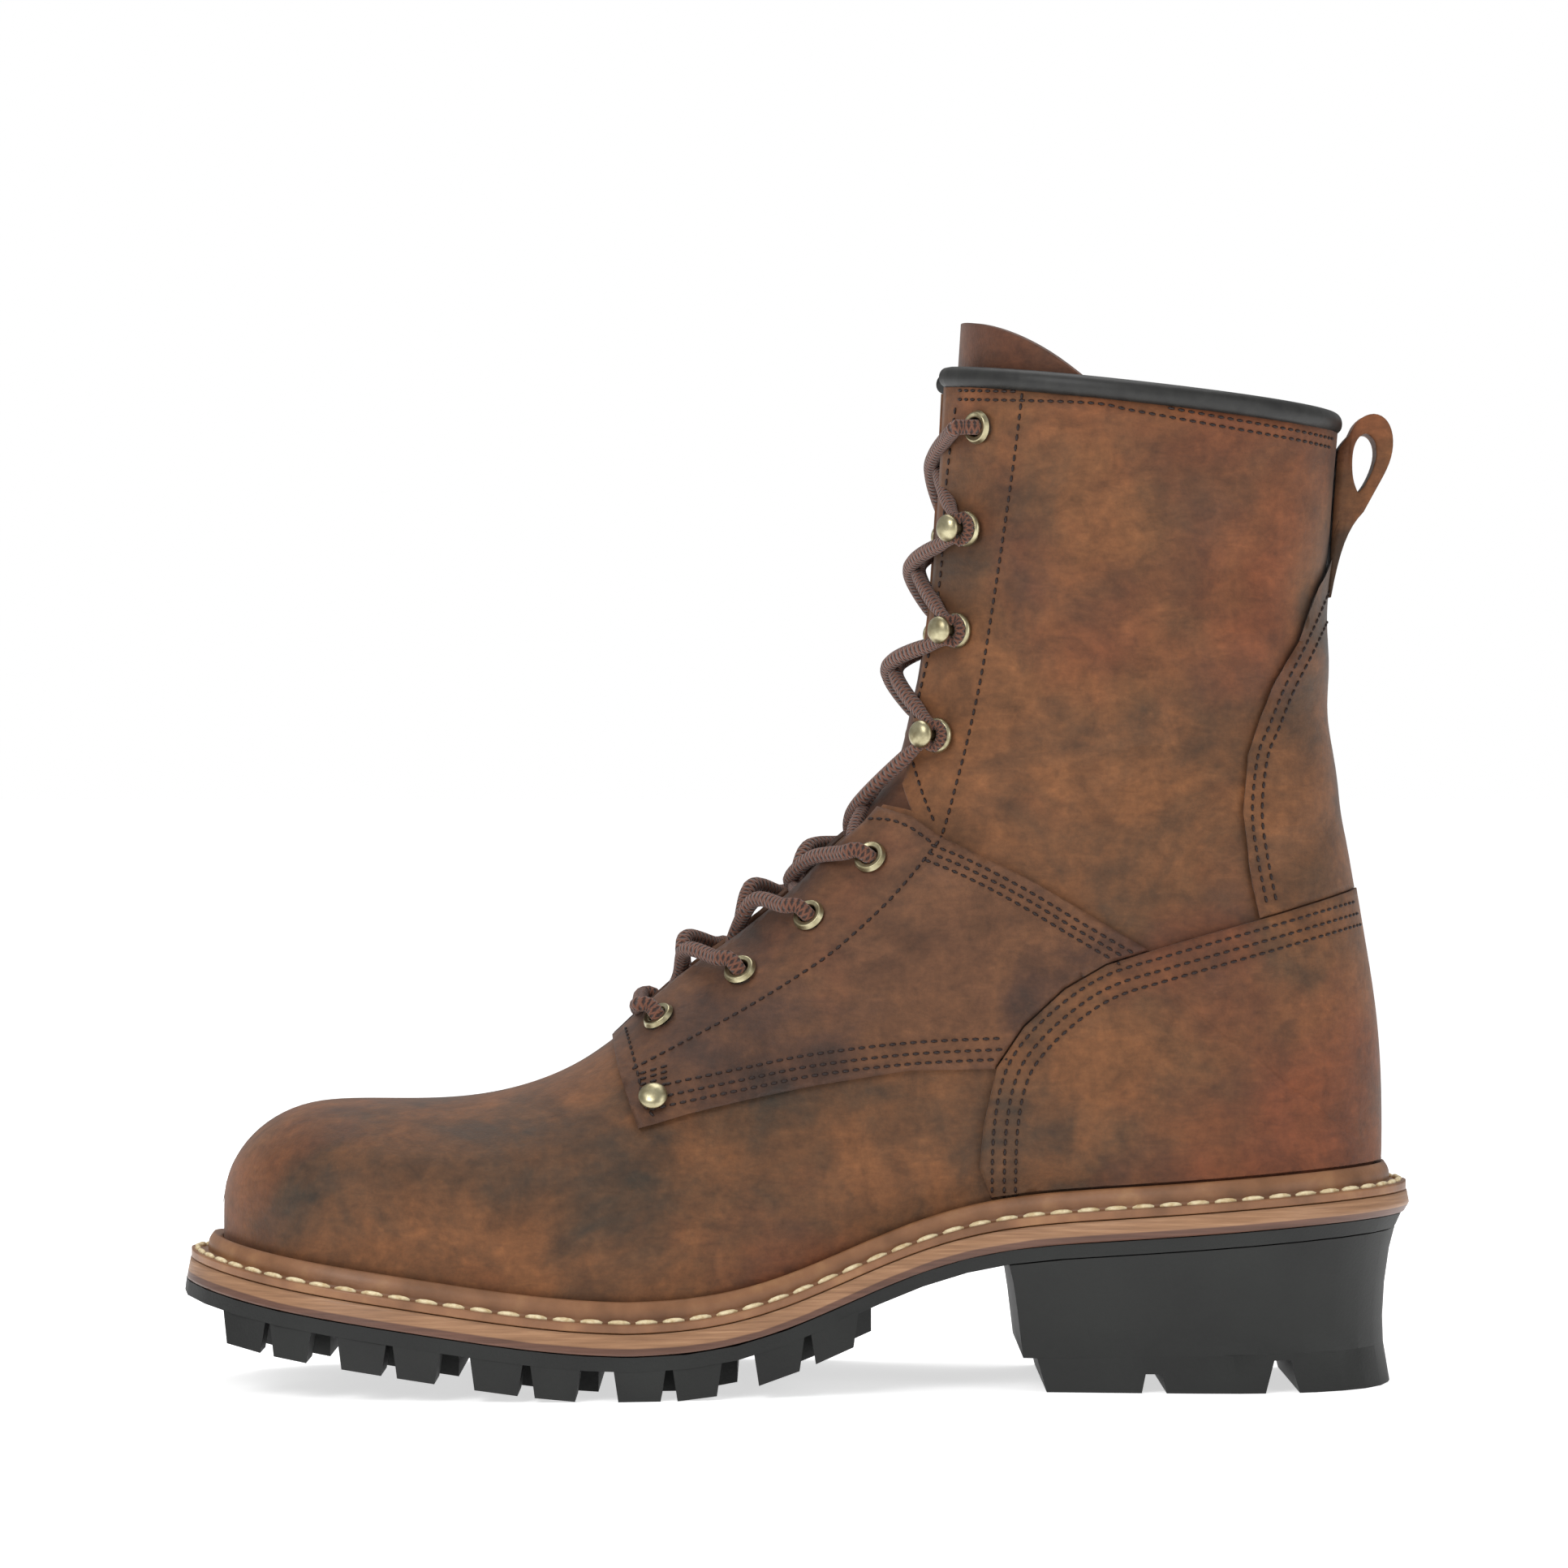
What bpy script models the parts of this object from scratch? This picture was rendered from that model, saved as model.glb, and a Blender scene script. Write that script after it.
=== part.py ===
# Logger boot for the right foot, in metres. The toe points to -X, the inner side of the foot is -Y and
# +Z is up. The origin is the centre of the heel's flat tread, on the floor.
import math

import bmesh
import bpy
import numpy as np
from mathutils import Vector

# Driving sizes of the last and the leg
LAST_LENGTH = 0.2835
HEEL_BACK = 0.0405
BALL_WIDTH = 0.1000
WAIST_WIDTH = 0.0700
HEEL_WIDTH = 0.0680
TOE_ROUND = 0.0425
HEEL_ROUND = 0.0330
TOE_INSET = 0.0060
TOE_HEIGHT = 0.0370
TOE_DOME = 0.0265
TOE_DOME_LENGTH = 0.0280
INSTEP_HEIGHT = 0.1140
LEG_HEIGHT = 0.0868
COLLAR_SLOPE = 0.0223
HEEL_CURVE = 0.0135
ANKLE_WIDTH = 0.0720
COLLAR_WIDTH = 0.0850

# Leather and its clearances
WALL = 0.0022
GAP = 0.0003
QUARTER_THICKNESS = 0.0013
COUNTER_THICKNESS = 0.0017
BACKSTAY_THICKNESS = 0.0012
THROAT_START = 0.345
THROAT_BASE_GAP = 0.0170
THROAT_TOP_GAP = 0.0270
FEATHER_BAND = 0.0060

# Tongue, insole and collar binding
TONGUE_THICKNESS = 0.0024
TONGUE_GAP = 0.0014
TONGUE_RISE = 0.0165
TONGUE_CORNER_DROP = 0.88
TONGUE_CORNER_FULLNESS = 3.0
TONGUE_TUCK = 0.0016
BINDING_WIDTH = 0.0050
BINDING_HEIGHT = 0.0040

# Sole
BEAD_HEIGHT = 0.0050
BEAD_WIDTH = 0.0036
WELT_WIDTH = 0.0080
MIDSOLE_WIDTH = 0.0088
TREAD_WIDTH = 0.0104
HEEL_SEAT_WIDTH = 0.0066
WELT_THICKNESS = 0.0024
MIDSOLE_THICKNESS = 0.0050
RUBBER_THICKNESS = 0.0037
LUG_DEPTH = 0.0070
TOE_SPRING = 0.0160
HEEL_PITCH = 0.0314
FLAT_SPOT = 0.0004
INSOLE_THICKNESS = 0.0030
INSOLE_CLEARANCE = 0.0008
WELT_STEP = 0.0002
RUBBER_STEP = 0.0004

TOE_X = HEEL_BACK - LAST_LENGTH
BALL_RISE = WELT_THICKNESS + MIDSOLE_THICKNESS + RUBBER_THICKNESS + LUG_DEPTH


# Every object that is already there goes
for old in list(bpy.data.objects):
    bpy.data.objects.remove(old, do_unlink=True)


# A smooth curve through the rows of a table, one column against the first
def smooth_column(rows, column):
    knots = np.array([row[0] for row in rows], dtype=float)
    values = np.array([row[column] for row in rows], dtype=float)
    count = len(knots)
    steps = np.diff(knots)
    slopes = np.diff(values) / steps
    system = np.eye(count)
    right = np.zeros(count)
    for k in range(1, count - 1):
        system[k, k - 1] = steps[k - 1]
        system[k, k] = 2 * (steps[k - 1] + steps[k])
        system[k, k + 1] = steps[k]
        right[k] = 6 * (slopes[k] - slopes[k - 1])
    bends = np.linalg.solve(system, right)

    def curve(at):
        at = np.clip(np.asarray(at, dtype=float), knots[0], knots[-1])
        k = np.clip(np.searchsorted(knots, at) - 1, 0, count - 2)
        low = at - knots[k]
        high = knots[k + 1] - at
        straight = (values[k] * high + values[k + 1] * low) / steps[k]
        bent = (bends[k] * (high**3 / steps[k] - steps[k] * high)
                + bends[k + 1] * (low**3 / steps[k] - steps[k] * low)) / 6
        return straight + bent

    return curve


# Height of the welt's top along the sole: station, share of the toe spring, share of the heel pitch
SOLE_LINE = (
    (-0.040, 1.02, 0.000),
    (0.044, 0.70, 0.000),
    (0.132, 0.46, 0.000),
    (0.200, 0.28, 0.000),
    (0.280, 0.09, 0.000),
    (0.360, 0.00, 0.000),
    (0.430, 0.00, 0.045),
    (0.478, 0.00, 0.150),
    (0.519, 0.00, 0.290),
    (0.562, 0.00, 0.455),
    (0.607, 0.00, 0.610),
    (0.660, 0.00, 0.735),
    (0.750, 0.00, 0.825),
    (0.850, 0.00, 0.890),
    (0.945, 0.00, 0.960),
    (1.040, 0.00, 1.010),
)
toe_share = smooth_column(SOLE_LINE, 1)
heel_share = smooth_column(SOLE_LINE, 2)


def sole_top(x):
    station = (np.asarray(x) - TOE_X) / LAST_LENGTH
    return BALL_RISE + TOE_SPRING * toe_share(station) + HEEL_PITCH * heel_share(station)


# Half widths of the footprint at the feather line: station, inner side, outer side
FOOTPRINT = (
    (0.00, 0.410 * BALL_WIDTH, 0.400 * BALL_WIDTH),
    (0.08, 0.430 * BALL_WIDTH, 0.420 * BALL_WIDTH),
    (0.16, 0.455 * BALL_WIDTH, 0.455 * BALL_WIDTH),
    (0.24, 0.475 * BALL_WIDTH, 0.490 * BALL_WIDTH),
    (0.32, 0.480 * BALL_WIDTH, 0.520 * BALL_WIDTH),
    (0.40, 0.450 * BALL_WIDTH, 0.520 * BALL_WIDTH),
    (0.48, 0.390 * BALL_WIDTH, 0.490 * BALL_WIDTH),
    (0.56, 0.465 * WAIST_WIDTH, 0.640 * WAIST_WIDTH),
    (0.64, 0.415 * WAIST_WIDTH, 0.585 * WAIST_WIDTH),
    (0.72, 0.440 * HEEL_WIDTH, 0.555 * HEEL_WIDTH),
    (0.80, 0.480 * HEEL_WIDTH, 0.520 * HEEL_WIDTH),
    (0.88, 0.500 * HEEL_WIDTH, 0.505 * HEEL_WIDTH),
    (1.00, 0.495 * HEEL_WIDTH, 0.495 * HEEL_WIDTH),
)
print_inner = smooth_column(FOOTPRINT, 1)
print_outer = smooth_column(FOOTPRINT, 2)


def end_round(station):
    toe = np.clip(1 - station * LAST_LENGTH / TOE_ROUND, 0, 1)
    heel = np.clip(1 - (1 - station) * LAST_LENGTH / HEEL_ROUND, 0, 1)
    return np.sqrt(1 - toe**2) * np.sqrt(1 - heel**2)


def centre_y(station):
    return -TOE_INSET * np.clip(1 - station / 0.6, 0, 1)**2


# A section's station along the footprint. Even steps in section number close up round the heel.
HEEL_START = 1 - HEEL_ROUND / LAST_LENGTH


def foot_station(section):
    turn = np.clip((section - HEEL_START) / (1 - HEEL_START), 0, 1)
    return np.where(turn > 0, HEEL_START + (1 - HEEL_START) * np.sin(math.pi / 2 * turn), section)


# Sections that the sole's rings and the upper share, closer together at the round toe
def foot_sections():
    toe_end = TOE_ROUND / LAST_LENGTH
    toe = [toe_end * (1 - math.cos(math.pi / 2 * k / 6)) for k in range(7)]
    ball = list(np.linspace(toe_end, THROAT_START, 8))[1:]
    waist = list(np.linspace(THROAT_START + 0.012, HEEL_START, 14))
    heel = list(np.linspace(HEEL_START, 1, 6))[1:]
    return np.array(toe + ball + waist + heel)


FOOT_SECTIONS = foot_sections()
STATIONS = foot_station(FOOT_SECTIONS)


# The footprint's edge along the inner side and along the outer side, toe tip to heel tip, moved outward
# by an offset that may differ from station to station
def outline(offset, stations=STATIONS):
    rounded = end_round(stations)
    xs = TOE_X + stations * LAST_LENGTH
    inner_y = centre_y(stations) - print_inner(stations) * rounded
    outer_y = centre_y(stations) + print_outer(stations) * rounded
    ring_x = np.concatenate([xs, xs[-2:0:-1]])
    ring_y = np.concatenate([inner_y, outer_y[-2:0:-1]])
    along_x = np.roll(ring_x, -1) - np.roll(ring_x, 1)
    along_y = np.roll(ring_y, -1) - np.roll(ring_y, 1)
    length = np.hypot(along_x, along_y)
    offset = np.broadcast_to(offset, stations.shape)
    ring_offset = np.concatenate([offset, offset[-2:0:-1]])
    x = ring_x + along_y / length * ring_offset
    y = ring_y - along_x / length * ring_offset
    ring = np.column_stack([x, y])
    count = len(stations)
    inner = ring[:count]
    outer = np.vstack([ring[:1], ring[:count - 2:-1]])
    return inner, outer


# A width that changes smoothly from the forefoot to the heel seat
def fore_to_rear(fore, rear, stations=STATIONS):
    share = np.clip((stations - 0.52) / 0.2, 0, 1)
    return fore + (rear - fore) * share * share * (3 - 2 * share)


def make_material(name, colour, roughness, metallic=0.0):
    made = bpy.data.materials.new(name)
    made.use_nodes = True
    shader = made.node_tree.nodes["Principled BSDF"]
    shader.inputs["Base Color"].default_value = (*colour, 1.0)
    shader.inputs["Roughness"].default_value = roughness
    shader.inputs["Metallic"].default_value = metallic
    return made


LEATHER = make_material("leather", (0.16, 0.075, 0.033), 0.7)
DARK_LEATHER = make_material("dark_leather", (0.12, 0.055, 0.028), 0.7)
ROLLED_EDGE = make_material("rolled_edge", (0.03, 0.03, 0.028), 0.5)
RUBBER = make_material("rubber", (0.03, 0.03, 0.029), 0.75)
WELT_LEATHER = make_material("welt_leather", (0.35, 0.16, 0.07), 0.55)
SOLE_LEATHER = make_material("sole_leather", (0.45, 0.25, 0.13), 0.6)
BOARD = make_material("board", (0.35, 0.24, 0.15), 0.9)
BRASS = make_material("brass", (0.48, 0.42, 0.22), 0.35, 1.0)
LACE_CORD = make_material("lace_cord", (0.18, 0.07, 0.04), 0.8)


# A mesh object from points and faces, with points that coincide made one
def add_piece(name, points, faces, material):
    mesh = bpy.data.meshes.new(name)
    mesh.from_pydata([tuple(point) for point in points], [], [tuple(face) for face in faces])
    work = bmesh.new()
    work.from_mesh(mesh)
    bmesh.ops.remove_doubles(work, verts=work.verts, dist=1e-6)
    work.to_mesh(mesh)
    work.free()
    mesh.materials.append(material)
    mesh.shade_smooth()
    mesh.set_sharp_from_angle(angle=math.radians(40))
    piece = bpy.data.objects.new(name, mesh)
    bpy.context.collection.objects.link(piece)
    return piece


def combine(piece, tool, operation="DIFFERENCE"):
    change = piece.modifiers.new("combine", "BOOLEAN")
    change.operation = operation
    change.solver = "EXACT"
    change.object = tool
    bpy.context.view_layer.update()
    finished = piece.evaluated_get(bpy.context.evaluated_depsgraph_get())
    mesh = bpy.data.meshes.new_from_object(finished)
    piece.modifiers.clear()
    piece.data = mesh
    bpy.data.objects.remove(tool, do_unlink=True)


# Rings of equal point count, top to bottom, as one closed solid. A ring is its inner side from toe to
# heel and then its outer side back, and strips across the sole close the first and the last ring.
def ring_stack(name, rings, material):
    count = len(rings[0])
    points = [point for ring in rings for point in ring]
    faces = []
    for level in range(len(rings) - 1):
        top = level * count
        low = top + count
        for k in range(count):
            after = (k + 1) % count
            faces.append((top + k, low + k, low + after, top + after))
    last = (len(rings) - 1) * count
    for k in range(count // 2 - 1):
        faces.append((k, k + 1, count - k - 2, count - k - 1))
        faces.append((last + k, last + count - k - 1, last + count - k - 2, last + k + 1))
    return add_piece(name, points, faces, material)


def sole_ring(offset, drop):
    inner, outer = outline(offset)
    flat = np.vstack([inner, outer[::-1]])
    return np.column_stack([flat, sole_top(flat[:, 0]) - drop])


# Sections of the upper. Each runs from the top or front line down to the feather line and, past the
# heel, across to the back seam. The section number is that of its foot end up to 1, then 1 plus the
# share of the back seam's height. The rise is over the sole line at the top point.
BEND_RISE = 1.045 * INSTEP_HEIGHT
BACK_SEAM = BEND_RISE + LEG_HEIGHT - COLLAR_SLOPE
# Section, station of the top point, rise, inner half width, outer half width, depth of the widest
# point, fullness over the top
UPPER_ROWS = (
    (0.000, 0.000, 1.04 * TOE_HEIGHT, 0.415 * BALL_WIDTH, 0.405 * BALL_WIDTH, 0.62, 2.30),
    (0.080, 0.080, 1.14 * TOE_HEIGHT, 0.440 * BALL_WIDTH, 0.435 * BALL_WIDTH, 0.62, 2.35),
    (0.160, 0.160, 1.22 * TOE_HEIGHT, 0.468 * BALL_WIDTH, 0.475 * BALL_WIDTH, 0.64, 2.35),
    (0.240, 0.240, 1.36 * TOE_HEIGHT, 0.490 * BALL_WIDTH, 0.510 * BALL_WIDTH, 0.68, 2.20),
    (0.310, 0.310, 0.525 * INSTEP_HEIGHT, 0.498 * BALL_WIDTH, 0.540 * BALL_WIDTH, 0.72, 2.10),
    (0.375, 0.358, 0.626 * INSTEP_HEIGHT, 0.484 * BALL_WIDTH, 0.540 * BALL_WIDTH, 0.74, 2.00),
    (0.430, 0.395, 0.712 * INSTEP_HEIGHT, 0.455 * BALL_WIDTH, 0.525 * BALL_WIDTH, 0.74, 1.95),
    (0.500, 0.436, 0.783 * INSTEP_HEIGHT, 0.410 * BALL_WIDTH, 0.500 * BALL_WIDTH, 0.72, 1.90),
    (0.585, 0.478, 0.848 * INSTEP_HEIGHT, 0.520 * ANKLE_WIDTH, 0.640 * ANKLE_WIDTH, 0.70, 1.90),
    (0.700, 0.522, 0.934 * INSTEP_HEIGHT, 0.505 * ANKLE_WIDTH, 0.590 * ANKLE_WIDTH, 0.66, 1.90),
    (0.800, 0.543, 0.975 * INSTEP_HEIGHT, 0.505 * ANKLE_WIDTH, 0.550 * ANKLE_WIDTH, 0.62, 1.90),
    (0.900, 0.559, 1.013 * INSTEP_HEIGHT, 0.505 * ANKLE_WIDTH, 0.525 * ANKLE_WIDTH, 0.58, 1.90),
    (1.000, 0.570, BEND_RISE, 0.505 * ANKLE_WIDTH, 0.512 * ANKLE_WIDTH, 0.56, 1.90),
    (1.140, 0.577, BEND_RISE + 0.066 * LEG_HEIGHT, 0.505 * ANKLE_WIDTH, 0.505 * ANKLE_WIDTH, 0.54, 1.95),
    (1.300, 0.582, BEND_RISE + 0.138 * LEG_HEIGHT, 0.500 * ANKLE_WIDTH, 0.500 * ANKLE_WIDTH, 0.53, 2.00),
    (1.485, 0.593, BEND_RISE + 0.285 * LEG_HEIGHT, 0.500 * ANKLE_WIDTH, 0.500 * ANKLE_WIDTH, 0.52, 2.00),
    (1.607, 0.601, BEND_RISE + 0.412 * LEG_HEIGHT, 0.435 * COLLAR_WIDTH, 0.435 * COLLAR_WIDTH, 0.51, 2.05),
    (1.735, 0.607, BEND_RISE + 0.580 * LEG_HEIGHT, 0.458 * COLLAR_WIDTH, 0.458 * COLLAR_WIDTH, 0.50, 2.10),
    (1.870, 0.612, BEND_RISE + 0.781 * LEG_HEIGHT, 0.482 * COLLAR_WIDTH, 0.482 * COLLAR_WIDTH, 0.50, 2.10),
    (2.000, 0.616, BEND_RISE + 1.000 * LEG_HEIGHT, 0.500 * COLLAR_WIDTH, 0.500 * COLLAR_WIDTH, 0.50, 2.10),
)
top_station = smooth_column(UPPER_ROWS, 1)
top_rise = smooth_column(UPPER_ROWS, 2)
half_inner = smooth_column(UPPER_ROWS, 3)
half_outer = smooth_column(UPPER_ROWS, 4)
widest_depth = smooth_column(UPPER_ROWS, 5)
top_fullness = smooth_column(UPPER_ROWS, 6)
BACK_FULLNESS = 2.2

# Back seam: share of its height, share of the heel curve that it lies in front of the heel's back
BACK_ROWS = (
    (0.000, 0.000),
    (0.060, 0.005),
    (0.118, 0.000),
    (0.173, 0.040),
    (0.238, 0.170),
    (0.298, 0.310),
    (0.385, 0.500),
    (0.450, 0.660),
    (0.565, 0.875),
    (0.630, 0.955),
    (0.696, 1.000),
    (0.767, 0.965),
    (0.843, 0.870),
    (0.941, 0.755),
    (1.000, 0.690),
)
back_inset = smooth_column(BACK_ROWS, 1)


# The two ends of a section in the side view
def section_ends(section):
    top_x = TOE_X + top_station(section) * LAST_LENGTH
    dome = np.clip(1 - (top_x - TOE_X) / TOE_DOME_LENGTH, 0, 1)
    top_z = sole_top(top_x) + top_rise(section) - TOE_DOME * (1 - math.sqrt(1 - dome**2))
    if section <= 1:
        low_x = TOE_X + foot_station(section) * LAST_LENGTH
        low_z = sole_top(low_x) + FEATHER_BAND
    else:
        share = section - 1
        low_x = HEEL_BACK - HEEL_CURVE * back_inset(share)
        low_z = sole_top(HEEL_BACK) + FEATHER_BAND + share * (BACK_SEAM - FEATHER_BAND)
    return float(top_x), float(top_z), float(low_x), float(low_z)


def side_point(section, depth):
    top_x, top_z, low_x, low_z = section_ends(section)
    return top_x + (low_x - top_x) * depth, top_z + (low_z - top_z) * depth


# One half of a section as points from its top line down, with the distance run along them.
# The side is -1 for the inner half and 1 for the outer half.
def half_section(section, side, steps=180):
    top_x, top_z, low_x, low_z = section_ends(section)
    depth = 0.5 - 0.5 * np.cos(np.linspace(0, math.pi, steps + 1))
    toe_share_left = np.clip(1 - section * LAST_LENGTH / TOE_ROUND, 0, 1)
    half = float(half_inner(section) if side < 0 else half_outer(section))
    half *= math.sqrt(1 - toe_share_left**2)
    foot = 0.0
    if section < 1:
        station = foot_station(section)
        print_half = print_inner(station) if side < 0 else print_outer(station)
        foot = float(print_half * end_round(station))
    end = min(foot / half, 0.995) if half > 0 else 0.0
    reach = (1 - end**BACK_FULLNESS)**(1 / BACK_FULLNESS)
    widest = float(widest_depth(section))
    full = float(top_fullness(section))
    over = np.clip(1 - depth / widest, 0, 1)
    under = np.clip((depth - widest) / (1 - widest), 0, 1) * reach
    width = np.where(depth < widest, (1 - over**full)**(1 / full),
                     (1 - under**BACK_FULLNESS)**(1 / BACK_FULLNESS)) * half
    middle = float(centre_y(min(section, 1.0)))
    points = np.column_stack([top_x + (low_x - top_x) * depth,
                              middle + side * width,
                              top_z + (low_z - top_z) * depth])
    run = np.concatenate([[0], np.cumsum(np.linalg.norm(np.diff(points, axis=0), axis=1))])
    return points, run, width


def half_gap(section):
    share = np.clip((section - THROAT_START) / (0.8 - THROAT_START), 0, 1)
    return 0.5 * (THROAT_BASE_GAP + (THROAT_TOP_GAP - THROAT_BASE_GAP) * float(share))


# Distance along a half section from the top line to the throat's edge
def edge_run(section, run, width):
    rising = slice(0, int(np.argmax(width)) + 1)
    return float(np.interp(half_gap(section), width[rising], run[rising]))


def along(points, run, distance):
    return np.column_stack([np.interp(distance, run, points[:, axis]) for axis in range(3)])


COLUMNS = 10
# The columns stand closer together at both ends of a section, where it turns sharply
COLUMN_CROWDING = 0.5
column_steps = np.linspace(0, 1, COLUMNS + 1)
COLUMN_SHARES = column_steps - COLUMN_CROWDING * np.sin(2 * math.pi * column_steps) / (2 * math.pi)
SECTIONS = np.concatenate([FOOT_SECTIONS, np.linspace(1, 2, 11)[1:]])
THROAT_SECTION = int(np.argmin(abs(SECTIONS - THROAT_START)))


# The upper's form, open at collar, throat and underneath: points, faces and the outward direction at
# each point
def upper_form():
    points = []
    faces = []
    places = {}

    def place(point):
        key = tuple(np.round(point, 7))
        if key not in places:
            places[key] = len(points)
            points.append(point)
        return places[key]

    for side in (-1, 1):
        grid = []
        for k, section in enumerate(SECTIONS):
            half, run, width = half_section(section, side)
            start = edge_run(section, run, width) if k > THROAT_SECTION else 0.0
            row = [place(point) for point in along(half, run, start + (run[-1] - start) * COLUMN_SHARES)]
            if section <= 1:
                foot = half[-1].copy()
                foot[2] = sole_top(foot[0]) - WELT_THICKNESS + GAP
                row.append(place(foot))
            grid.append(row)
        for k in range(len(grid) - 1):
            for j in range(min(len(grid[k]), len(grid[k + 1])) - 1):
                face = [grid[k][j + 1], grid[k + 1][j + 1], grid[k + 1][j], grid[k][j]]
                if side > 0:
                    face = [face[2], face[1], face[0], face[3]]
                face = [v for n, v in enumerate(face) if v != face[n - 1]]
                for n in range(2, len(face)):
                    faces.append([face[0], face[n - 1], face[n]])
    return np.array(points), faces


# The outward direction at each point, evened out over its neighbours
def outward(points, faces):
    normals = np.zeros_like(points)
    for face in faces:
        corners = points[face]
        area = np.zeros(3)
        for k in range(1, len(face) - 1):
            area += np.cross(corners[k] - corners[0], corners[k + 1] - corners[0])
        normals[face] += area
    normals /= np.linalg.norm(normals, axis=1)[:, None]
    evened = normals.copy()
    for face in faces:
        for k in range(len(face)):
            evened[face[k]] += 0.5 * normals[face[k - 1]]
    return evened / np.linalg.norm(evened, axis=1)[:, None]


# A wall between two offsets of a form, closed along every edge of the form
def wall_between(name, form, outer_offset, inner_offset, material):
    points, faces, normals = form
    count = len(points)
    outer_offset = np.broadcast_to(outer_offset, (count,))[:, None]
    inner_offset = np.broadcast_to(inner_offset, (count,))[:, None]
    both = np.vstack([points + normals * outer_offset, points + normals * inner_offset])
    edges = {(face[k - 1], face[k]) for face in faces for k in range(len(face))}
    solid = [tuple(face) for face in faces]
    solid += [tuple(v + count for v in reversed(face)) for face in faces]
    for first, second in sorted(edges):
        if (second, first) not in edges:
            solid.append((second, first, first + count, second + count))
    return add_piece(name, both, solid, material)


form_points, form_faces = upper_form()
FORM = (form_points, form_faces, outward(form_points, form_faces))

upper = wall_between("upper", FORM, 0.0, -WALL, LEATHER)

# Insole
INSOLE_INSET = WALL + INSOLE_CLEARANCE
insole_low = WELT_THICKNESS - GAP
insole_rings = [sole_ring(-INSOLE_INSET, insole_low - INSOLE_THICKNESS), sole_ring(-INSOLE_INSET, insole_low)]
ring_stack("insole", insole_rings, BOARD)


# Welt: flat flange with a raised bead against the upper, as a profile carried round the footprint
# Columns: distance out from the upper, height over the flange
def build_welt():
    bead_out = GAP + BEAD_WIDTH
    profile = (
        (GAP, GAP - WELT_THICKNESS),
        (WELT_WIDTH, GAP - WELT_THICKNESS),
        (WELT_WIDTH, 0.0),
        (bead_out, 0.0),
        (bead_out, 0.6 * BEAD_HEIGHT),
        (GAP + 0.6 * BEAD_WIDTH, BEAD_HEIGHT),
        (GAP, 0.9 * BEAD_HEIGHT),
    )
    rings = [sole_ring(out, -height) for out, height in profile]
    count = len(rings[0])
    points = [point for ring in rings for point in ring]
    faces = []
    for level in range(len(rings)):
        low = level * count
        top = (level + 1) % len(rings) * count
        for k in range(count):
            after = (k + 1) % count
            faces.append((low + k, low + after, top + after, top + k))
    return add_piece("welt", points, faces, WELT_LEATHER)


build_welt()

# Midsole
midsole_low = WELT_THICKNESS + MIDSOLE_THICKNESS
midsole_rings = [
    sole_ring(WELT_WIDTH + WELT_STEP, WELT_THICKNESS),
    sole_ring(MIDSOLE_WIDTH, WELT_THICKNESS + 0.6 * MIDSOLE_THICKNESS),
    sole_ring(fore_to_rear(MIDSOLE_WIDTH + 0.0003, HEEL_SEAT_WIDTH + 0.0010), midsole_low),
]
ring_stack("midsole", midsole_rings, SOLE_LEATHER)


# Outsole: a thin base under the whole foot with the forefoot's lugs fused to it
def tread_height(x):
    return np.maximum(sole_top(x) - BALL_RISE - FLAT_SPOT, 0)


def edge_y(offset, x, side):
    inner, outer = outline(offset)
    edge = inner if side < 0 else outer
    return float(np.interp(x, edge[:, 0], edge[:, 1]))


# A six-sided block from four corners above and four below, both going round the same way
def block(points, faces, above, below):
    start = len(points)
    points += above + below
    count = len(above)
    for k in range(count):
        after = (k + 1) % count
        faces.append((start + k, start + count + k, start + count + after, start + after))
    faces.append(tuple(range(start, start + count)))
    faces.append(tuple(range(start + 2 * count - 1, start + count - 1, -1)))


TREAD_START = TOE_X + 0.004
TREAD_LENGTH = 0.1490
LUG_REACH = 0.0230
CHANNEL = 0.0050
# Starts of the lug pairs along the tread, and each lug of a pair as start and end in the pair's length
PAIR_STARTS = (0.000, 0.192, 0.405, 0.634, 0.858, 1.075)
PAIR_LUGS = ((0.00, 0.30), (0.42, 0.70))
ROOT_SPREAD = 0.0012


def build_outsole():
    base_top = midsole_low + GAP
    base_low = midsole_low + RUBBER_THICKNESS
    rings = [
        sole_ring(fore_to_rear(MIDSOLE_WIDTH, HEEL_SEAT_WIDTH), base_top),
        sole_ring(fore_to_rear(MIDSOLE_WIDTH + RUBBER_STEP, HEEL_SEAT_WIDTH - 4 * RUBBER_STEP), base_low),
    ]
    outsole = ring_stack("outsole", rings, RUBBER)
    points = []
    faces = []
    sink = 0.0006
    for k in range(len(PAIR_STARTS) - 1):
        pair_start = TREAD_START + PAIR_STARTS[k] * TREAD_LENGTH
        pair_length = (PAIR_STARTS[k + 1] - PAIR_STARTS[k]) * TREAD_LENGTH
        for lug_start, lug_end in PAIR_LUGS:
            front = pair_start + lug_start * pair_length
            back = pair_start + lug_end * pair_length
            add_lug_row(points, faces, front, back, base_low - sink)
    lugs = add_piece("lugs", points, faces, RUBBER)
    combine(outsole, lugs, "UNION")
    return outsole


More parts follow.
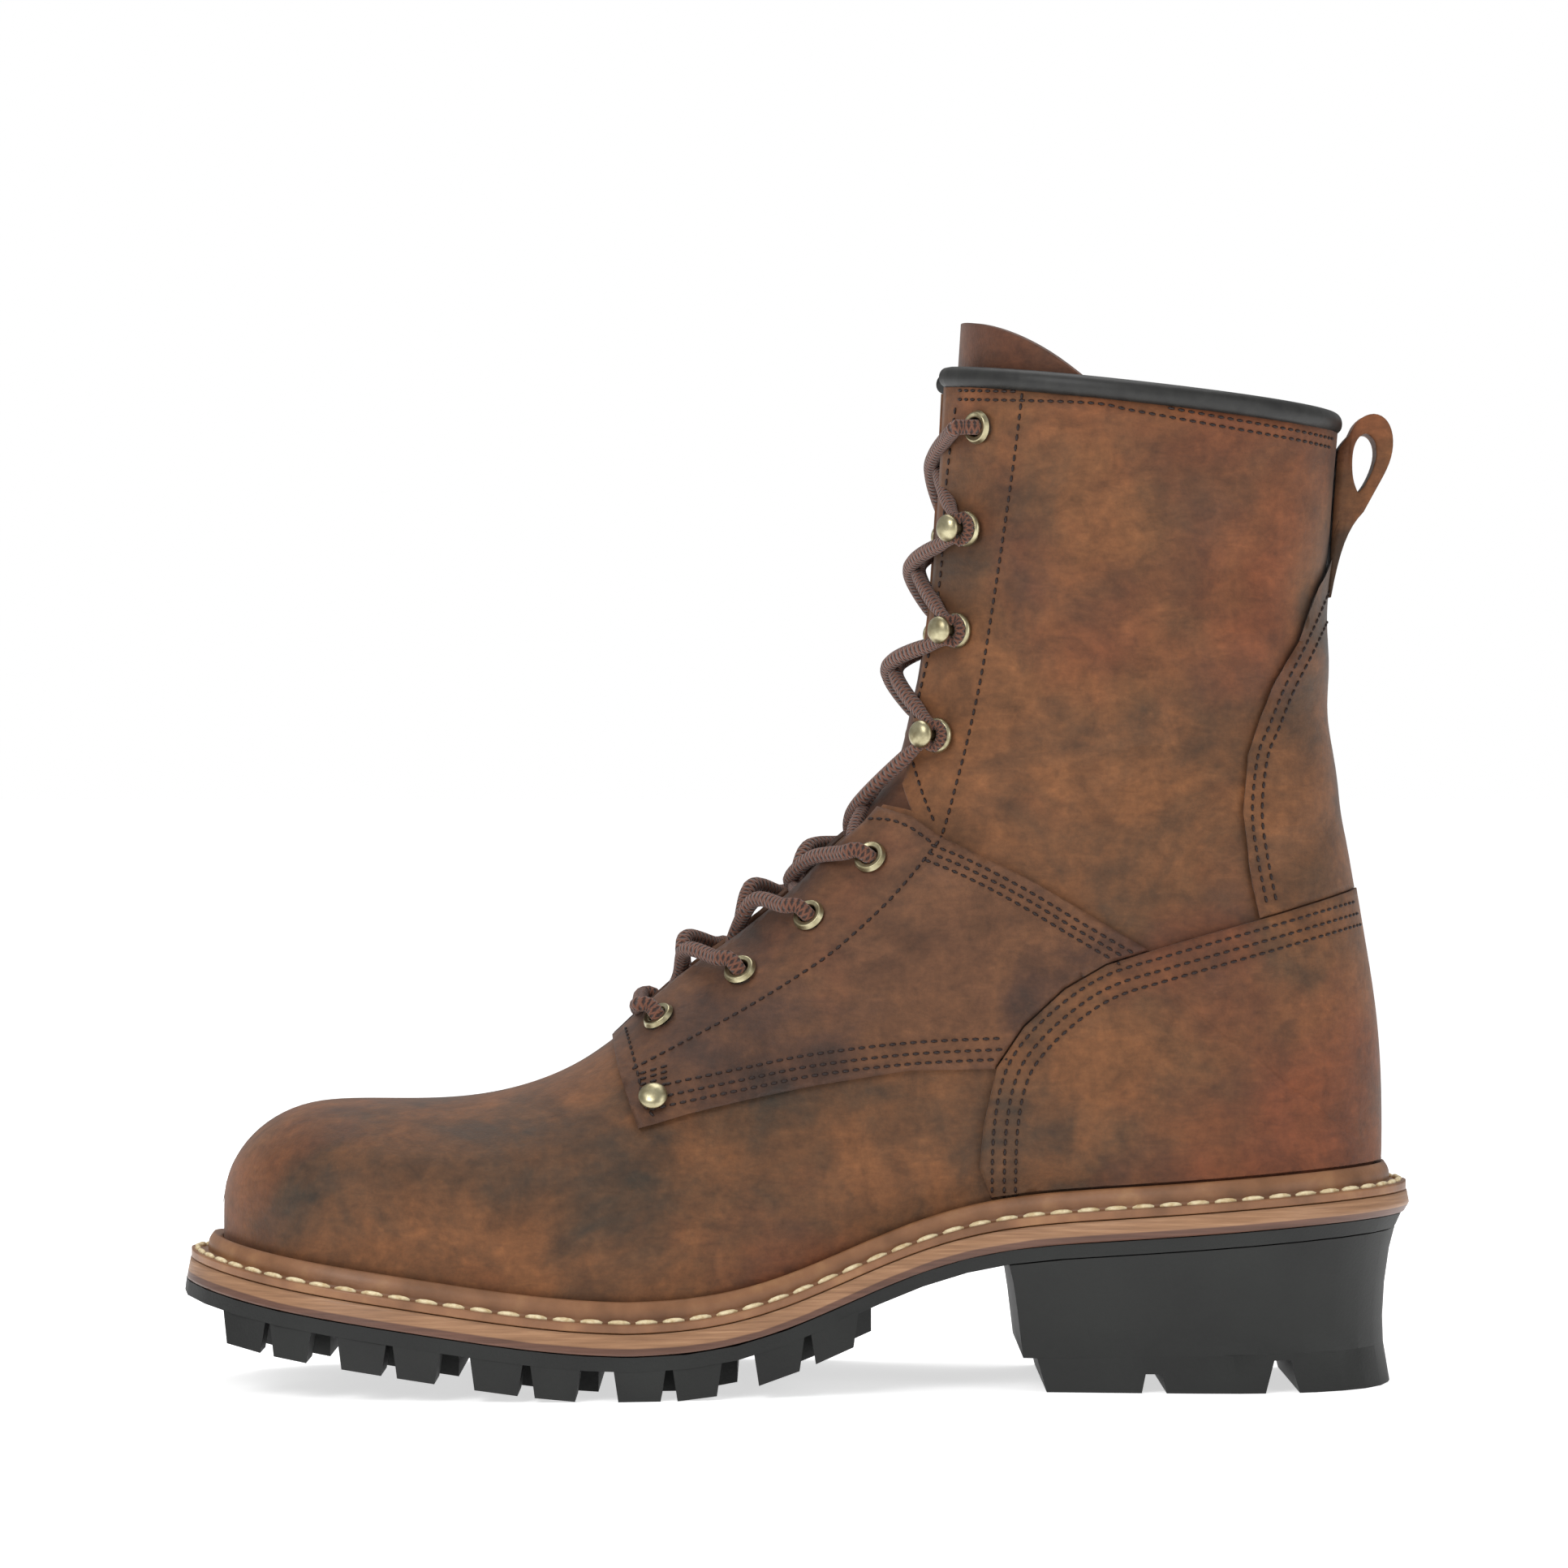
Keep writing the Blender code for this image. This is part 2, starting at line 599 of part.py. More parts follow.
# One lug at each edge and one in the middle, between two places along the tread
def add_lug_row(points, faces, front, back, root_drop):
    for side in (-1, 1):
        above = []
        below = []
        reach = side * min(LUG_REACH, 0.40 * abs(edge_y(TREAD_WIDTH, front, side)))
        for x, spread, inside in ((front, -1, 0), (back, 1, 0), (back, 1, 1), (front, -1, 1)):
            root_x = x + spread * ROOT_SPREAD
            root_y = edge_y(MIDSOLE_WIDTH + 0.0002, root_x, side) - inside * reach
            tread_y = edge_y(TREAD_WIDTH, x, side) - inside * reach
            above.append((root_x, root_y, float(sole_top(root_x)) - root_drop))
            below.append((x, tread_y, float(tread_height(x))))
        if side > 0:
            above.reverse()
            below.reverse()
        block(points, faces, above, below)
    shift = 0.5 * (back - front)
    above = []
    below = []
    for x, side in ((front, -1), (back, -1), (back, 1), (front, 1)):
        reach = min(LUG_REACH, 0.40 * abs(edge_y(TREAD_WIDTH, front, side)))
        y = edge_y(TREAD_WIDTH, x, side) - side * (reach + CHANNEL)
        place = x + shift
        above.append((place, y, float(sole_top(place)) - root_drop))
        below.append((place, y, float(tread_height(place))))
    block(points, faces, above, below)


build_outsole()

# Heel block: height share, width beyond the footprint, setback of its front face
HEEL_FRONT = -0.0508
HEEL_ROWS = (
    (1.000, 0.0048, 0.0000),
    (0.860, 0.0034, 0.0010),
    (0.640, 0.0022, 0.0020),
    (0.420, 0.0017, 0.0028),
    (0.260, 0.0019, 0.0034),
    (0.255, 0.0019, 0.0068),
    (0.000, 0.0035, 0.0090),
)
HEEL_POINTS = 12


def build_heel():
    rings = []
    drop = midsole_low + RUBBER_THICKNESS + GAP
    for share, width, setback in HEEL_ROWS:
        inner, outer = outline(width)
        front = HEEL_FRONT + setback
        back = inner[-1, 0]
        xs = front + (back - front) * np.sin(np.linspace(0, math.pi / 2, HEEL_POINTS))
        near = np.interp(xs, inner[:, 0], inner[:, 1])
        far = np.interp(xs, outer[:, 0], outer[:, 1])
        x = np.concatenate([xs, xs[::-1]])
        y = np.concatenate([near, far[::-1]])
        rings.append(np.column_stack([x, y, share * (sole_top(x) - drop)]))
    heel = ring_stack("heel", rings, RUBBER)
    for place, low_half, top_half, height in ((-0.0160, 0.0034, 0.0020, 0.0045), (0.0150, 0.0047, 0.0020, 0.0078)):
        points = []
        faces = []
        reach = HEEL_WIDTH
        below = -0.002
        above = [(place - top_half, -reach, height), (place + top_half, -reach, height),
                 (place + top_half, reach, height), (place - top_half, reach, height)]
        under = [(place - low_half, -reach, below), (place + low_half, -reach, below),
                 (place + low_half, reach, below), (place - low_half, reach, below)]
        block(points, faces, above, under)
        combine(heel, add_piece("notch", points, faces, RUBBER))
    return heel


build_heel()


# Tongue: a strip under the throat, inside the upper, that widens upward and stands above the collar
# Columns: section, half width along the leather
TONGUE_ROWS = (
    (0.30, 0.20 * BALL_WIDTH),
    (0.50, 0.30 * BALL_WIDTH),
    (0.80, 0.32 * BALL_WIDTH),
    (1.20, 0.38 * BALL_WIDTH),
    (2.00, 0.60 * BALL_WIDTH),
)
tongue_half = smooth_column(TONGUE_ROWS, 1)
TONGUE_COLUMNS = 5


def build_tongue():
    start = THROAT_START - 0.03
    sections = [start] + [section for section in SECTIONS if section > start + 0.01]
    shares = np.linspace(-1, 1, 2 * TONGUE_COLUMNS + 1)
    rows = []
    for section in sections:
        row = []
        halves = {side: half_section(section, side) for side in (-1, 1)}
        for share in shares:
            half, run, width = halves[1 if share > 0 else -1]
            row.append(along(half, run, [abs(share) * float(tongue_half(section))])[0])
        rows.append(np.array(row))
    lean = rows[-1] - rows[-3]
    lean /= np.linalg.norm(lean, axis=1)[:, None]
    rise = TONGUE_RISE * (1 - TONGUE_CORNER_DROP * abs(shares)**TONGUE_CORNER_FULLNESS)
    collar = rows[-1]
    for share in (0.35, 0.7, 1.0):
        rows.append(collar + lean * (share * rise)[:, None])
    points = np.vstack(rows)
    width = len(shares)
    faces = []
    for k in range(len(rows) - 1):
        for j in range(width - 1):
            a = k * width + j
            faces.append([a, a + 1, a + width + 1, a + width][::-1])
    depth = np.full(len(points), WALL + TONGUE_GAP)
    near_collar = np.clip((np.arange(len(rows)) - (len(sections) - 5)) / 4, 0, 1)
    depth += np.repeat(near_collar, width) * TONGUE_TUCK
    normals = outward(points, faces)
    form = (points, faces, normals)
    return wall_between("tongue", form, -depth, -depth - TONGUE_THICKNESS, DARK_LEATHER)


build_tongue()


# A flat outline in the side view, carried straight across the boot between two widths
def side_prism(outline_points, start_y, end_y, material=LEATHER):
    lift = Vector((0, end_y - start_y, 0))
    work = bmesh.new()
    corners = [work.verts.new((x, start_y, z)) for x, z in outline_points]
    base = work.faces.new(corners)
    grown = bmesh.ops.extrude_face_region(work, geom=[base])
    moved = [item for item in grown["geom"] if isinstance(item, bmesh.types.BMVert)]
    bmesh.ops.translate(work, verts=moved, vec=lift)
    bmesh.ops.recalc_face_normals(work, faces=work.faces)
    mesh = bpy.data.meshes.new("prism")
    work.to_mesh(mesh)
    work.free()
    mesh.materials.append(material)
    prism = bpy.data.objects.new("prism", mesh)
    bpy.context.collection.objects.link(prism)
    return prism


# The counter's front edge as section and depth, from the bead up and back to the back seam
COUNTER_EDGE = (
    (0.654, 1.06),
    (0.665, 0.92),
    (0.688, 0.81),
    (0.734, 0.67),
    (0.795, 0.585),
    (0.879, 0.523),
    (0.941, 0.489),
    (1.066, 0.545),
    (1.172, 0.658),
    (1.264, 0.792),
    (1.378, 1.02),
)
REAR_CLEAR = 0.030
BEAD_CLEAR = BEAD_HEIGHT + 0.0006


# The counter's outline, closed behind the heel and along the top of the bead
def counter_outline(grow):
    edge = [side_point(section, depth) for section, depth in COUNTER_EDGE]
    grown = [(x - grow * 0.7, z + grow * 0.7) for x, z in edge]
    back_x = HEEL_BACK + REAR_CLEAR
    low_x = np.linspace(back_x, grown[0][0], 14)
    low = [(float(x), float(sole_top(min(x, HEEL_BACK + WELT_WIDTH))) + BEAD_CLEAR - grow) for x in low_x]
    return grown[1:] + [(back_x, grown[-1][1] + 0.004)] + low


SIDE_REACH = 0.08


def build_counter():
    counter = wall_between("counter", FORM, GAP + COUNTER_THICKNESS, GAP, LEATHER)
    combine(counter, side_prism(counter_outline(0.0), -SIDE_REACH, SIDE_REACH), "INTERSECT")
    return counter


# The quarter's outline as section and depth: tab front, over the instep, top edge back to the counter,
# and the lower edge forward again
QUARTER_EDGE = (
    (0.373, 0.377),
    (0.366, 0.287),
    (0.354, 0.130),
    (0.345, -0.030),
    (0.400, -0.250),
    (0.600, -0.200),
    (0.760, -0.080),
    (0.797, -0.010),
    (0.822, 0.012),
    (0.853, 0.030),
    (0.911, 0.098),
    (0.920, 0.144),
    (0.991, 0.289),
    (1.045, 0.528),
    (0.890, 0.700),
    (0.760, 0.690),
    (0.731, 0.672),
    (0.648, 0.615),
    (0.557, 0.532),
    (0.490, 0.470),
    (0.428, 0.422),
)


def build_quarter(name, side):
    quarter = wall_between(name, FORM, GAP + QUARTER_THICKNESS, GAP, LEATHER)
    edge = [side_point(section, depth) for section, depth in QUARTER_EDGE]
    start = side * 0.5 * THROAT_BASE_GAP
    combine(quarter, side_prism(edge, start, side * SIDE_REACH), "INTERSECT")
    combine(quarter, side_prism(counter_outline(GAP * 1.6), -SIDE_REACH, SIDE_REACH))
    return quarter


# The backstay's front edge as section and depth, top to bottom
BACKSTAY_EDGE = (
    (1.827, 1.010),
    (1.765, 0.973),
    (1.702, 0.927),
    (1.636, 0.870),
    (1.568, 0.821),
    (1.511, 0.784),
    (1.416, 0.754),
    (1.338, 0.752),
    (1.240, 0.760),
)


def build_backstay():
    backstay = wall_between("backstay", FORM, GAP + BACKSTAY_THICKNESS, GAP, LEATHER)
    edge = [side_point(section, depth) for section, depth in BACKSTAY_EDGE]
    behind = [(HEEL_BACK + REAR_CLEAR, edge[-1][1]), (HEEL_BACK + REAR_CLEAR, edge[0][1])]
    combine(backstay, side_prism(edge + behind, -SIDE_REACH, SIDE_REACH), "INTERSECT")
    combine(backstay, side_prism(counter_outline(GAP * 1.6), -SIDE_REACH, SIDE_REACH))
    return backstay


build_counter()
quarters = {-1: build_quarter("quarter_medial", -1), 1: build_quarter("quarter_lateral", 1)}
build_backstay()

# The leg's front corners curve back above the quarters, where the tongue shows
NOTCH_EDGE = (
    (1.050, -0.060),
    (1.050, 0.012),
    (0.990, 0.041),
    (0.923, 0.092),
    (0.870, 0.040),
    (0.860, -0.060),
)
combine(upper, side_prism([side_point(section, depth) for section, depth in NOTCH_EDGE], -0.03, 0.03))


# Rolled binding over the collar's rim, round the back from one front edge to the other
def build_binding():
    rim = []
    for side in (-1, 1):
        half, run, width = half_section(2.0, side)
        start = edge_run(2.0, run, width)
        line = along(half, run, np.linspace(start, run[-1], 14))
        rim.append(line if side < 0 else line[-2::-1])
    path = np.vstack(rim)
    ahead = np.gradient(path, axis=0)
    flat_out = np.column_stack([ahead[:, 1], -ahead[:, 0], np.zeros(len(path))])
    flat_out /= np.linalg.norm(flat_out, axis=1)[:, None]
    path = path - flat_out * WALL / 2
    centre = GAP + 0.5 * BINDING_HEIGHT
    corners = 8
    points = []
    faces = []
    for k in range(len(path)):
        for n in range(corners):
            angle = 2 * math.pi * (n + 0.5) / corners
            out = 0.5 * BINDING_WIDTH * math.cos(angle) / math.cos(math.pi / corners)
            up = 0.5 * BINDING_HEIGHT * math.sin(angle) / math.cos(math.pi / corners)
            points.append(path[k] + flat_out[k] * out + np.array([0, 0, centre + up]))
    for k in range(len(path) - 1):
        for n in range(corners):
            after = (n + 1) % corners
            a = k * corners
            faces.append((a + n, a + corners + n, a + corners + after, a + after))
    faces.append(tuple(range(corners)))
    faces.append(tuple(len(points) - 1 - n for n in range(corners)))
    return add_piece("collar_binding", points, faces, ROLLED_EDGE)


build_binding()

# Pull loop: a leather strap folded into a loop behind the collar
LOOP_HEIGHT = 0.0387
LOOP_DEPTH = 0.0142
LOOP_WIDTH = 0.0130
LOOP_ABOVE = 0.0055
# Height share up the loop, reach behind the back seam as a share of the loop's depth
LOOP_OUTLINE = (
    (0.000, 0.145), (0.170, 0.125), (0.350, 0.125), (0.555, 0.130), (0.735, 0.145), (0.860, 0.190),
    (0.950, 0.310), (1.000, 0.600), (0.945, 0.860), (0.815, 0.960), (0.670, 0.925), (0.535, 0.750),
    (0.355, 0.520), (0.210, 0.360), (0.000, 0.270),
)
LOOP_HOLE = (
    (0.483, 0.400), (0.560, 0.290), (0.700, 0.245), (0.800, 0.270), (0.865, 0.400), (0.855, 0.560),
    (0.780, 0.680), (0.680, 0.680), (0.570, 0.580), (0.500, 0.470),
)


def loop_points(rows):
    collar_z = section_ends(2.0)[3]
    seat_z = section_ends(1.0)[3]
    points = []
    for share, reach in rows:
        z = collar_z + LOOP_ABOVE - (1 - share) * LOOP_HEIGHT
        seam = float(back_inset(min((z - seat_z) / (collar_z - seat_z), 1)))
        points.append((HEEL_BACK - HEEL_CURVE * seam + reach * LOOP_DEPTH, z))
    return points


pull_loop = side_prism(loop_points(LOOP_OUTLINE), -0.5 * LOOP_WIDTH, 0.5 * LOOP_WIDTH)
pull_loop.name = "pull_loop"
combine(pull_loop, side_prism(loop_points(LOOP_HOLE), -LOOP_WIDTH, LOOP_WIDTH))


# A place on the upper beside the throat: the side, the section and the distance back from the edge,
# with the outward direction and the direction up the throat
def throat_place(side, section, setback):
    def at(number, extra):
        half, run, width = half_section(number, side)
        return along(half, run, [edge_run(number, run, width) + setback + extra])[0]

    down = at(section, 0.002) - at(section, -0.002)
    upward = at(min(section + 0.02, 2.0), 0) - at(section - 0.02, 0)
    normal = np.cross(down, upward) * -side
    return at(section, 0), normal / np.linalg.norm(normal), upward / np.linalg.norm(upward)


# A turned solid: radius and height of each ring, up the outside and, for a ring, back down its bore
def turned(name, profile, sides, place, axis, material):
    turn = Vector(axis).to_track_quat("Z", "Y").to_matrix()
    points = []
    for radius, height in profile:
        for k in range(sides):
            angle = 2 * math.pi * k / sides
            spot = Vector((radius * math.cos(angle), radius * math.sin(angle), height))
            points.append(np.array(place) + np.array(turn @ spot))
    bored = profile[0][0] > 0
    faces = []
    for ring in range(len(profile) if bored else len(profile) - 1):
        low = ring * sides
        top = (ring + 1) % len(profile) * sides
        for k in range(sides):
            after = (k + 1) % sides
            faces.append((low + k, low + after, top + after, top + k))
    return add_piece(name, points, faces, material)


EYELET_SETBACK = 0.0125
EYELET_BORE = 0.0025
EYELET_BARREL = 0.0030
EYELET_FLANGE = 0.0044
EYELET_HEIGHT = 0.0011
HOOK_BASE = 0.0047
HOOK_HEAD = 0.0036
HOOK_STEM = 0.0016
HOOK_NECK = 0.0067
RIVET_RADIUS = 0.0038
RIVET_SECTION = 0.391
RIVET_SETBACK = 0.0375
SEAT = GAP + 0.0003
QUARTER_TOP = GAP + QUARTER_THICKNESS
# Fasteners from the throat's base up: kind, section, setback as a share of the eyelets' setback
FASTENERS = (
    ("eyelet_1", 0.407, 1.15),
    ("eyelet_2", 0.511, 1.13),
    ("eyelet_3", 0.621, 0.96),
    ("eyelet_4", 0.760, 0.84),
    ("hook_1", 1.270, 0.80),
    ("hook_2", 1.566, 0.92),
    ("hook_3", 1.766, 1.12),
    ("eyelet_5", 1.938, 1.30),
)
ROUND_SIDES = 10


def build_eyelet(name, side, section, setback):
    place, normal = throat_place(side, section, setback)[:2]
    over_quarter = section < 1
    seat = SEAT + (QUARTER_TOP if over_quarter else 0)
    depth = WALL + 0.0003
    profile = (
        (EYELET_BARREL, -depth),
        (EYELET_BARREL, seat),
        (EYELET_FLANGE, seat),
        (0.85 * EYELET_FLANGE, seat + EYELET_HEIGHT),
        (EYELET_BORE, seat + 0.8 * EYELET_HEIGHT),
        (EYELET_BORE, -depth),
    )
    turned(name, profile, ROUND_SIDES, place, normal, BRASS)
    hole = EYELET_BARREL + 1.2 * GAP
    bore = ((0, -2 * depth), (hole, -2 * depth), (hole, 2 * depth), (0, 2 * depth))
    combine(upper, turned("hole", bore, ROUND_SIDES, place, normal, LEATHER))
    if over_quarter:
        combine(quarters[side], turned("hole", bore, ROUND_SIDES, place, normal, LEATHER))


def build_hook(name, side, section, setback):
    place, normal = throat_place(side, section, setback)[:2]
    profile = (
        (0, SEAT),
        (HOOK_BASE, SEAT),
        (HOOK_BASE, SEAT + 0.0007),
        (0.82 * HOOK_BASE, SEAT + 0.0014),
        (HOOK_STEM, SEAT + 0.0016),
        (HOOK_STEM, HOOK_NECK),
        (HOOK_HEAD, HOOK_NECK + 0.0004),
        (HOOK_HEAD, HOOK_NECK + 0.0012),
        (0.6 * HOOK_HEAD, HOOK_NECK + 0.0022),
        (0, HOOK_NECK + 0.0025),
    )
    turned(name, profile, ROUND_SIDES, place, normal, BRASS)


for side, side_name in ((-1, "medial"), (1, "lateral")):
    for kind, section, share in FASTENERS:
        build = build_eyelet if kind.startswith("eyelet") else build_hook
        build(kind + "_" + side_name, side, section, share * EYELET_SETBACK)
    rivet_place, rivet_normal = throat_place(side, RIVET_SECTION, RIVET_SETBACK)[:2]
    rivet_seat = QUARTER_TOP + SEAT
    rivet_profile = (
        (0, rivet_seat),
        (RIVET_RADIUS, rivet_seat),
        (RIVET_RADIUS, rivet_seat + 0.0006),
        (0.65 * RIVET_RADIUS, rivet_seat + 0.0015),
        (0, rivet_seat + 0.0019),
    )
    turned("rivet_" + side_name, rivet_profile, ROUND_SIDES, rivet_place, rivet_normal, BRASS)


# Lace: a bar across the lowest eyelets and a crossing between each pair of fasteners and the next
LACE_RADIUS = 0.0019
LACE_SIDES = 6
LACE_BEND = 0.0030


# The corners of a path cut off at a short distance from each, so that the cord bends in two steps
def bent_path(places):
    path = [places[0]]
    for k in range(1, len(places) - 1):
        for other in (places[k - 1], places[k + 1]):
            way = other - places[k]
            length = np.linalg.norm(way)
            path.append(places[k] + way * min(LACE_BEND / length, 0.4))
    return path + [places[-1]]


def build_tube(name, places):
    path = bent_path(places)
    points = []
    faces = []
    side_on = Vector((0, 0, 1))
    for k, spot in enumerate(path):
        ahead = Vector(path[min(k + 1, len(path) - 1)] - path[max(k - 1, 0)]).normalized()
        side_on = (side_on - ahead * side_on.dot(ahead)).normalized()
        across = ahead.cross(side_on)
        for n in range(LACE_SIDES):
            angle = 2 * math.pi * n / LACE_SIDES
            arm = side_on * math.cos(angle) + across * math.sin(angle)
            points.append(spot + np.array(arm) * LACE_RADIUS)
    for k in range(len(path) - 1):
        for n in range(LACE_SIDES):
            after = (n + 1) % LACE_SIDES
            a = k * LACE_SIDES
            faces.append((a + n, a + after, a + LACE_SIDES + after, a + LACE_SIDES + n))
    faces.append(tuple(LACE_SIDES - 1 - n for n in range(LACE_SIDES)))
    faces.append(tuple(len(points) - LACE_SIDES + n for n in range(LACE_SIDES)))
    return add_piece(name, points, faces, LACE_CORD)


# Where the two strands of a crossing meet: section of the front line, height over it
CROSSINGS = (
    (0.425, 0.0022),
    (0.505, 0.0022),
    (0.605, 0.0034),
    (0.830, 0.0040),
    (1.440, 0.0050),
    (1.670, 0.0042),
    (1.860, 0.0030),
)


def front_place(section, height):
    x, z = side_point(section, 0.0)
    x_after, z_after = side_point(min(section + 0.02, 2.0), 0.0)
    run = math.hypot(x_after - x, z_after - z)
    return np.array([x - (z_after - z) / run * height, centre_y(min(section, 1.0)),
                     z + (x_after - x) / run * height])


# The end of a strand over a fastener, and the place where it passes the throat's edge
def over_end(side, fastener, away):
    kind, section, share = fastener
    setback = share * EYELET_SETBACK
    place, normal, upward = throat_place(side, section, setback)
    if kind.startswith("hook"):
        past_stem = HOOK_STEM + LACE_RADIUS + GAP
        lift = 0.5 * (HOOK_NECK + SEAT + 0.0016)
        end = place + normal * lift + upward * away * past_stem
    else:
        seat = SEAT + (QUARTER_TOP if section < 1 else 0)
        over = seat + EYELET_HEIGHT + 3 * GAP + LACE_RADIUS
        end = throat_place(side, section, setback - 0.002)[0] + normal * over
        lift = seat + LACE_RADIUS + 0.0014
    edge, edge_normal, upward = throat_place(side, section, 0.0010)
    return end, edge + edge_normal * lift + upward * away * 0.003


def under_end(side, section):
    half, run, width = half_section(section, side)
    spot = along(half, run, [max(edge_run(section, run, width) - 0.0036, 0.002)])[0]
    centre = front_place(section, 0.0)
    outward_way = spot - np.array([spot[0] + 0.02, centre[1], spot[2] - 0.02])
    return spot + outward_way / np.linalg.norm(outward_way) * 0.0002


STRAND_OVER = 0.5 * LACE_RADIUS


def build_crossing(number):
    lower, upper_pair = FASTENERS[number - 1], FASTENERS[number]
    section, height = CROSSINGS[number - 1]
    strands = []
    for side in (-1, 1):
        middle = front_place(section, height + (STRAND_OVER if side < 0 else 0))
        end, edge = over_end(side, upper_pair, -1)
        if lower[0].startswith("hook"):
            low_end, low_edge = over_end(-side, lower, 1)
            places = [end, edge, middle, low_edge, low_end]
        else:
            places = [end, edge, middle, under_end(-side, lower[1])]
        strands.append(build_tube(f"lace_crossing_{number}", places))
    combine(strands[0], strands[1], "UNION")


bar_ends = [over_end(side, FASTENERS[0], -1) for side in (-1, 1)]
build_tube("lace_bar", [bar_ends[0][0], bar_ends[0][1], front_place(0.378, 0.0062), bar_ends[1][1], bar_ends[1][0]])
for number in range(1, len(FASTENERS)):
    build_crossing(number)
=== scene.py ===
import math

import bmesh
import bpy
import numpy as np
from mathutils import Matrix, Vector
from mathutils.bvhtree import BVHTree


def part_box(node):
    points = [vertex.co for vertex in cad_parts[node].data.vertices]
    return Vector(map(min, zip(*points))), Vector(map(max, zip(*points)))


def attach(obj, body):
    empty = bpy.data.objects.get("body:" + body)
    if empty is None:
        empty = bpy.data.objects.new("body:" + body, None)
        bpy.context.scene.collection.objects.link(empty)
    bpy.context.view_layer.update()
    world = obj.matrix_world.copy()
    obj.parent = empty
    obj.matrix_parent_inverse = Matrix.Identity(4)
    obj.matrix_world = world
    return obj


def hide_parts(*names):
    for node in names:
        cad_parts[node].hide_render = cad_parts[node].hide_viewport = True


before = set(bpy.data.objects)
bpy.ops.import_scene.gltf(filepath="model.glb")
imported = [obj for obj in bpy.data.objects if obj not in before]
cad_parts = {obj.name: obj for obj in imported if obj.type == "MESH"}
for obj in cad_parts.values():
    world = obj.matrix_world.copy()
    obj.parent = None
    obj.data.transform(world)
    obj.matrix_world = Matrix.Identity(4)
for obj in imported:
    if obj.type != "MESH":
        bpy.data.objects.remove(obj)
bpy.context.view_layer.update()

# Camera and floor
# The boot stands on a plain white floor with its inner side to the camera. The camera is level with
# the middle of the boot's height, with a long lens 1.6 m away.
CAMERA_PLACE = (-0.1052, -1.6, 0.1468)
WIDTH_IN_VIEW = 0.3864
SENSOR = 36.0
FLOOR_HALF = 60.0
FLOOR_GLOW = 0.62
BACKDROP_SEEN = 1.0
BACKDROP_LIGHT = 0.44
# Studio lights: place, side of the square in metres and power in watts
SOFTBOXES = {
    "key": ((-0.9, -1.3, 1.1), 0.9, 12),
    "fill": ((1.1, -1.2, 0.6), 0.9, 4),
    "top": ((-0.1, 0.3, 1.4), 1.0, 7),
}
LIGHT_AIM = Vector((-0.1, 0, 0.1))


def linear(code):
    channels = [int(code[k:k + 2], 16) / 255 for k in (0, 2, 4)]
    return tuple(c / 12.92 if c <= 0.04045 else ((c + 0.055) / 1.055)**2.4 for c in channels) + (1.0,)


# Adds one node to a material, with settings by attribute name and inputs as values or links
def node(material, kind, inputs=None, **settings):
    made = material.node_tree.nodes.new(kind)
    for key, value in settings.items():
        setattr(made, key, value)
    for key, value in (inputs or {}).items():
        if isinstance(value, bpy.types.NodeSocket):
            material.node_tree.links.new(value, made.inputs[key])
        else:
            made.inputs[key].default_value = value
    return made


def ramp(material, value, stops):
    made = node(material, "ShaderNodeValToRGB", {"Fac": value})
    points = made.color_ramp.elements
    while len(points) < len(stops):
        points.new(0.5)
    for point, (place, colour) in zip(points, stops):
        point.position = place
        point.color = colour if isinstance(colour, tuple) else (colour, colour, colour, 1.0)
    return made.outputs["Color"]


def blank_material(name, roughness, metallic=0.0):
    made = bpy.data.materials.new(name)
    made.use_nodes = True
    shader = made.node_tree.nodes["Principled BSDF"]
    shader.inputs["Roughness"].default_value = roughness
    shader.inputs["Metallic"].default_value = metallic
    return made, shader


def new_object(name, work, material, smooth=True):
    mesh = bpy.data.meshes.new(name)
    work.to_mesh(mesh)
    work.free()
    mesh.materials.append(material)
    if smooth:
        mesh.shade_smooth()
    piece = bpy.data.objects.new(name, mesh)
    bpy.context.scene.collection.objects.link(piece)
    return piece


camera_data = bpy.data.cameras.new("camera")
camera_data.sensor_width = SENSOR
camera_data.lens = SENSOR * -CAMERA_PLACE[1] / WIDTH_IN_VIEW
camera = bpy.data.objects.new("camera", camera_data)
camera.location = CAMERA_PLACE
camera.rotation_euler = (math.pi / 2, 0, 0)
bpy.context.scene.collection.objects.link(camera)
bpy.context.scene.camera = camera

floor_paint, floor_shader = blank_material("white_floor_paint", 0.9)
floor_shader.inputs["Base Color"].default_value = linear("FFFFFF")
floor_shader.inputs["Specular IOR Level"].default_value = 0.1
floor_shader.inputs["Emission Color"].default_value = linear("FFFFFF")
floor_shader.inputs["Emission Strength"].default_value = FLOOR_GLOW
work = bmesh.new()
bmesh.ops.create_grid(work, x_segments=1, y_segments=1, size=FLOOR_HALF)
floor = new_object("floor", work, floor_paint)

world = bpy.data.worlds.new("studio")
world.use_nodes = True
backdrop = world.node_tree.nodes["Background"]
backdrop.inputs["Color"].default_value = linear("FFFFFF")
